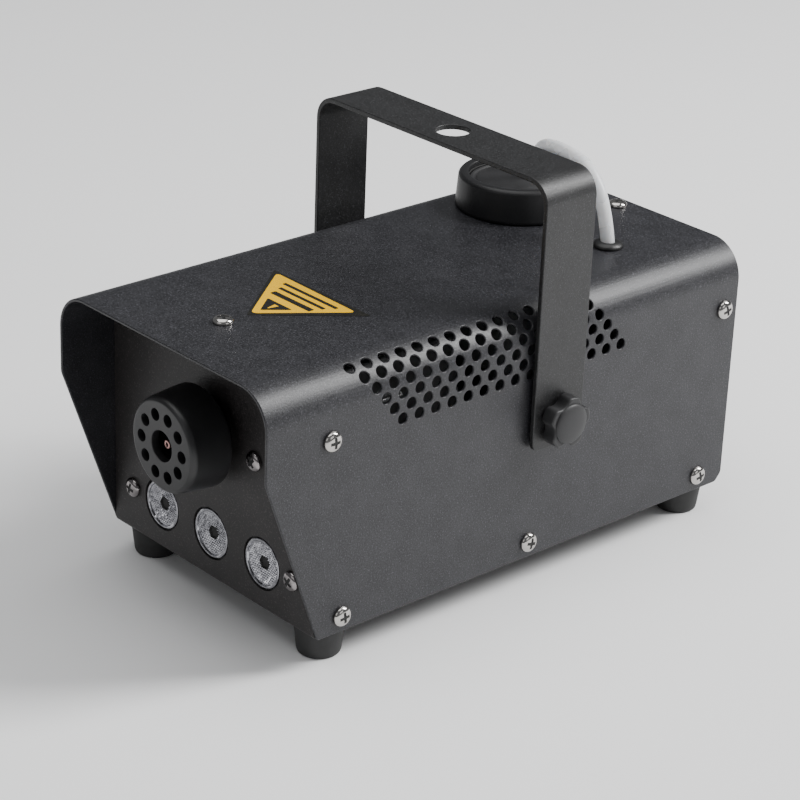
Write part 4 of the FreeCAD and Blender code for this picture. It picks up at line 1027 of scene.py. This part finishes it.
def knob_body():
    """Lobed grip with rolled edges and a raised, domed disc on its face."""
    count = 144
    thick = 5.8
    roll = 0.8
    levels = [(0.0, 0.45), (0.12, 0.15), (0.45, 0.0), (thick - roll, 0.0)]
    for k in range(1, 6):
        turn = k / 5 * math.pi / 2
        levels.append((thick - roll + roll * math.sin(turn), roll * (1 - math.cos(turn))))
    verts = []
    for height, inset in levels:
        for n in range(count):
            turn = 2 * math.pi * n / count
            radius = lobe_radius(turn, inset)
            verts.append((radius * math.cos(turn), radius * math.sin(turn), height))
    disc = [(7.84, thick - 0.12), (7.8, thick + 0.1), (7.7, thick + 0.4), (7.3, thick + 0.75),
            (6.4, thick + 1.1), (5.2, thick + 1.38), (3.8, thick + 1.58), (2.0, thick + 1.74)]
    for radius, height in disc:
        for n in range(count):
            turn = 2 * math.pi * n / count
            verts.append((radius * math.cos(turn), radius * math.sin(turn), height))
    rings = len(levels) + len(disc)
    faces = []
    for ring in range(rings - 1):
        for n in range(count):
            a = ring * count + n
            b = ring * count + (n + 1) % count
            faces.append((a, b, b + count, a + count))
    crown = len(verts)
    verts.append((0, 0, thick + 1.8))
    last = (rings - 1) * count
    faces += [(last + n, last + (n + 1) % count, crown) for n in range(count)]
    faces.append(tuple(range(count))[::-1])
    return verts, faces


def make_knobs():
    verts, faces = knob_body()
    for side, name in ((-1, "left"), (1, "right")):
        place = along((side * KNOB_SEAT, PIVOT_Y, PIVOT_Z), (side, 0, 0))
        knob = Solid().add(verts, faces, place)
        knob.piece(f"{name}_grip", PLASTIC, f"{name}_knob", [f"{name}_knob"], "black_plastic", 40)


# ---------------------------------------------------------------- tank cap, tube, grommet, feet

def make_tank_collar():
    """Screw collar: slightly tapered wall, rolled rim with a groove, open middle."""
    foot = collar_low.z
    top = collar_high.z - foot
    r = 24.8
    profile = [(21.3, 0.25), (21.6, 0), (r - 0.35, 0), (r, 0.35), (r - 0.05, 1.2), (23.95, top - 1.6),
               (23.8, top - 1.1), (23.45, top - 0.65), (23.0, top - 0.2), (22.75, top),
               (20.6, top), (20.2, top - 0.1), (19.9, top - 0.4), (19.8, top - 0.8), (19.8, 11.3),
               (19.95, 11.2), (21.3, 11.2)]
    place = Matrix.Translation((CAP_X, CAP_Y, foot))
    Solid().add(*lathe(profile, 144), place).piece(
        "cap_collar", GLOSS_CAP, "tank_cap", ["tank_collar"], "black_plastic", 50)


def make_tube_disc():
    """Fixed disc in the bottle's mouth, with a stepped edge and the boss that holds the tube."""
    level = ROOF + 8.6
    solid = Solid()
    profile = [(0, -4), (18.6, -4), (18.8, -3.8), (18.8, 0), (20.6, 0), (20.8, 0.2), (20.8, 1.5),
               (20.6, 1.7), (19.7, 1.7), (19.5, 1.9), (19.45, 2.1), (19.2, 2.4), (18.2, 2.4),
               (18.0, 2.2), (17.6, 2.0), (16.9, 2.0), (16.6, 2.2), (16.3, 2.38), (0, 2.4)]
    solid.add(*lathe(profile, 120), Matrix.Translation((CAP_X, CAP_Y, level)))
    boss = [(2.9, 2.2), (4.6, 2.2), (4.55, 3.6), (4.3, 3.95), (3.9, 4.08), (3.3, 4.02), (2.95, 3.7)]
    exit_x, exit_depth = TUBE_ROUTE[0][:2]
    place = Matrix.Translation((exit_x, FRONT + exit_depth, level))
    solid.add(*lathe(boss, 48), place)
    barb = [(0, -10), (2.5, -10), (2.7, -9.4), (2.7, -3.2), (0, -3.2)]
    solid.add(*lathe(barb, 32), place)
    solid.piece("mouth_disc", PLASTIC, "root", ["tube_disc"], "black_plastic", 50)


def make_feed_tube():
    """Silicone tube from the cap over to the grommet and down to the pump."""
    curve = bpy.data.curves.new("silicone_tube", "CURVE")
    curve.dimensions = "3D"
    curve.resolution_u = 24
    curve.bevel_depth = TUBE_RADIUS * MM
    curve.bevel_resolution = 12
    curve.use_fill_caps = True
    line = curve.splines.new("NURBS")
    line.points.add(len(TUBE_ROUTE) - 1)
    for point, (x, depth, height) in zip(line.points, TUBE_ROUTE):
        point.co = (x * MM, (FRONT + depth) * MM, (BASE + height) * MM, 1)
    line.order_u = 3
    line.use_endpoint_u = True
    tube = bpy.data.objects.new("silicone_tube", curve)
    bpy.context.scene.collection.objects.link(tube)
    curve.materials.append(SILICONE)
    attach(tube, "root")
    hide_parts("feed_tube")
    x, depth, _ = TUBE_ROUTE[0]


def make_grommet():
    """Rubber ring seated in the roof: domed flange, groove and inner lip."""
    profile = [(2.9, -3), (5.2, -3), (5.6, -2.6), (5.6, -1.3), (4.4, -1.25), (4.4, -0.05), (5.7, 0),
               (5.9, 0.25), (5.9, 0.75), (5.75, 1.15), (5.4, 1.55), (4.9, 1.92), (4.4, 2.18),
               (3.9, 2.34), (3.5, 2.4), (3.1, 2.36), (2.9, 2.2)]
    place = Matrix.Translation((GROMMET_X, GROMMET_Y, ROOF))
    Solid().add(*lathe(profile, 72), place).piece(
        "roof_grommet", GROMMET_RUBBER, "root", ["tube_grommet"], "rubber", 50)


def make_feet():
    """Four tapered rubber feet with a rolled lower edge and a recess for the screw."""
    top, bottom = 9.45, 8.0
    profile = [(2.2, 0), (top - 0.4, 0), (top, -0.35), (top - 0.05, -0.9), (bottom + 0.35, 2 - BASE),
               (bottom + 0.2, 1.2 - BASE), (bottom - 0.05, 0.5 - BASE), (bottom - 0.4, 0.12 - BASE),
               (bottom - 0.8, -BASE), (4.6, -BASE), (4.3, 0.1 - BASE), (4.2, 0.4 - BASE),
               (4.2, 5 - BASE), (2.2, 5 - BASE)]
    verts, faces = lathe(profile, 72)
    feet = Solid()
    for x, depth in FEET:
        feet.add(verts, faces, Matrix.Translation((x, FRONT + depth, BASE)))
    feet.piece("rubber_feet", RUBBER, "root", ["feet"], "rubber", 50)


# ---------------------------------------------------------------- CAD parts that keep their shape

SLOT_MATERIALS = {
    "gloss_black": GLOSS, "brass": BRASS, "steel": STEEL, "coil": COIL, "black_plastic": PLASTIC,
    "rubber": RUBBER, "board": BOARD, "silicone": SILICONE, "bottle": BOTTLE,
    "aluminium": ALUMINIUM, "white_plastic": NYLON, "lamp_board": LAMP_BOARD, "emitter": EMITTER,
    "red_lens": RED, "black_coat": COAT, "nickel": NICKEL, "dark_nickel": DARK_NICKEL,
    "lens": OPTIC, "yellow_film": YELLOW,
}
EDGE_WIDTHS = {"pivot_spacers": 0.2, "left_washer": 0.12, "right_washer": 0.12,
               "mains_inlet": 0.3, "switch_housing": 0.25, "switch_rocker": 0.3,
               "remote_socket": 0.25, "lens_holders": 0.15}
SOFT_EDGE = 0.18


def dress_cad_parts():
    """Give each CAD part its material and slightly rounded edges."""
    for entry in frame["record"]["subparts"]:
        item = nodes[entry["node"]]
        item.data.materials.clear()
        item.data.materials.append(SLOT_MATERIALS[entry["material_slot"]])
        if item.hide_render:
            continue
        weld = item.modifiers.new("weld", "WELD")
        weld.merge_threshold = 0.002 * MM
        bevel_edges(item, EDGE_WIDTHS.get(item.name, SOFT_EDGE), 35)


# ---------------------------------------------------------------- floor and light

def make_floor():
    mesh = bpy.data.meshes.new("floor")
    reach = 6.0
    mesh.from_pydata([(-reach, -reach, 0), (reach, -reach, 0), (reach, reach, 0), (-reach, reach, 0)],
                     [], [(0, 1, 2, 3)])
    floor = bpy.data.objects.new("floor", mesh)
    bpy.context.scene.collection.objects.link(floor)
    s = Shader("floor_paper")
    drift = s.remap(s.noise(400, detail=2), 0.3, 0.7, 0, 1)
    s.color(s.blend(drift, (0.94, 0.94, 0.94), (0.96, 0.96, 0.96)))
    s.set(Roughness=0.8, Specular_IOR_Level=0.2)
    mesh.materials.append(s.material)


def area_light(name, spot, target, size, power, tint=(1, 1, 1)):
    data = bpy.data.lights.new(name, "AREA")
    data.shape = "RECTANGLE"
    data.size, data.size_y = size
    data.energy = power
    data.color = tint
    light = bpy.data.objects.new(name, data)
    spot = Vector(spot)
    light.location = spot
    light.rotation_euler = (Vector(target) - spot).to_track_quat("-Z", "Y").to_euler()
    bpy.context.scene.collection.objects.link(light)


def make_lights():
    world = bpy.data.worlds.new("studio")
    bpy.context.scene.world = world
    world.use_nodes = True
    background = world.node_tree.nodes["Background"]
    background.inputs["Color"].default_value = (0.95, 0.97, 1.0, 1)
    background.inputs["Strength"].default_value = 0.20
    middle = (0, 0, 0.06)
    area_light("band", (0.75, 1.10, 1.25), middle, (0.55, 1.1), 46)
    area_light("overhead", (-0.2, -0.2, 1.7), middle, (1.6, 1.6), 18)
    area_light("side_fill", (1.7, 0.1, 0.75), middle, (0.9, 0.7), 2)
    area_light("front_fill", (0.2, -1.6, 0.9), middle, (1.2, 0.8), 2)


# ---------------------------------------------------------------- build

make_camera()
make_cover()
make_chassis()
make_yoke()
make_screws()
make_nozzle_guard()
make_lenses()
make_nozzle_tip()
make_sticker()
make_knobs()
make_tank_collar()
make_tube_disc()
make_feed_tube()
make_grommet()
make_feet()
dress_cad_parts()
make_floor()
make_lights()

bpy.context.view_layer.update()
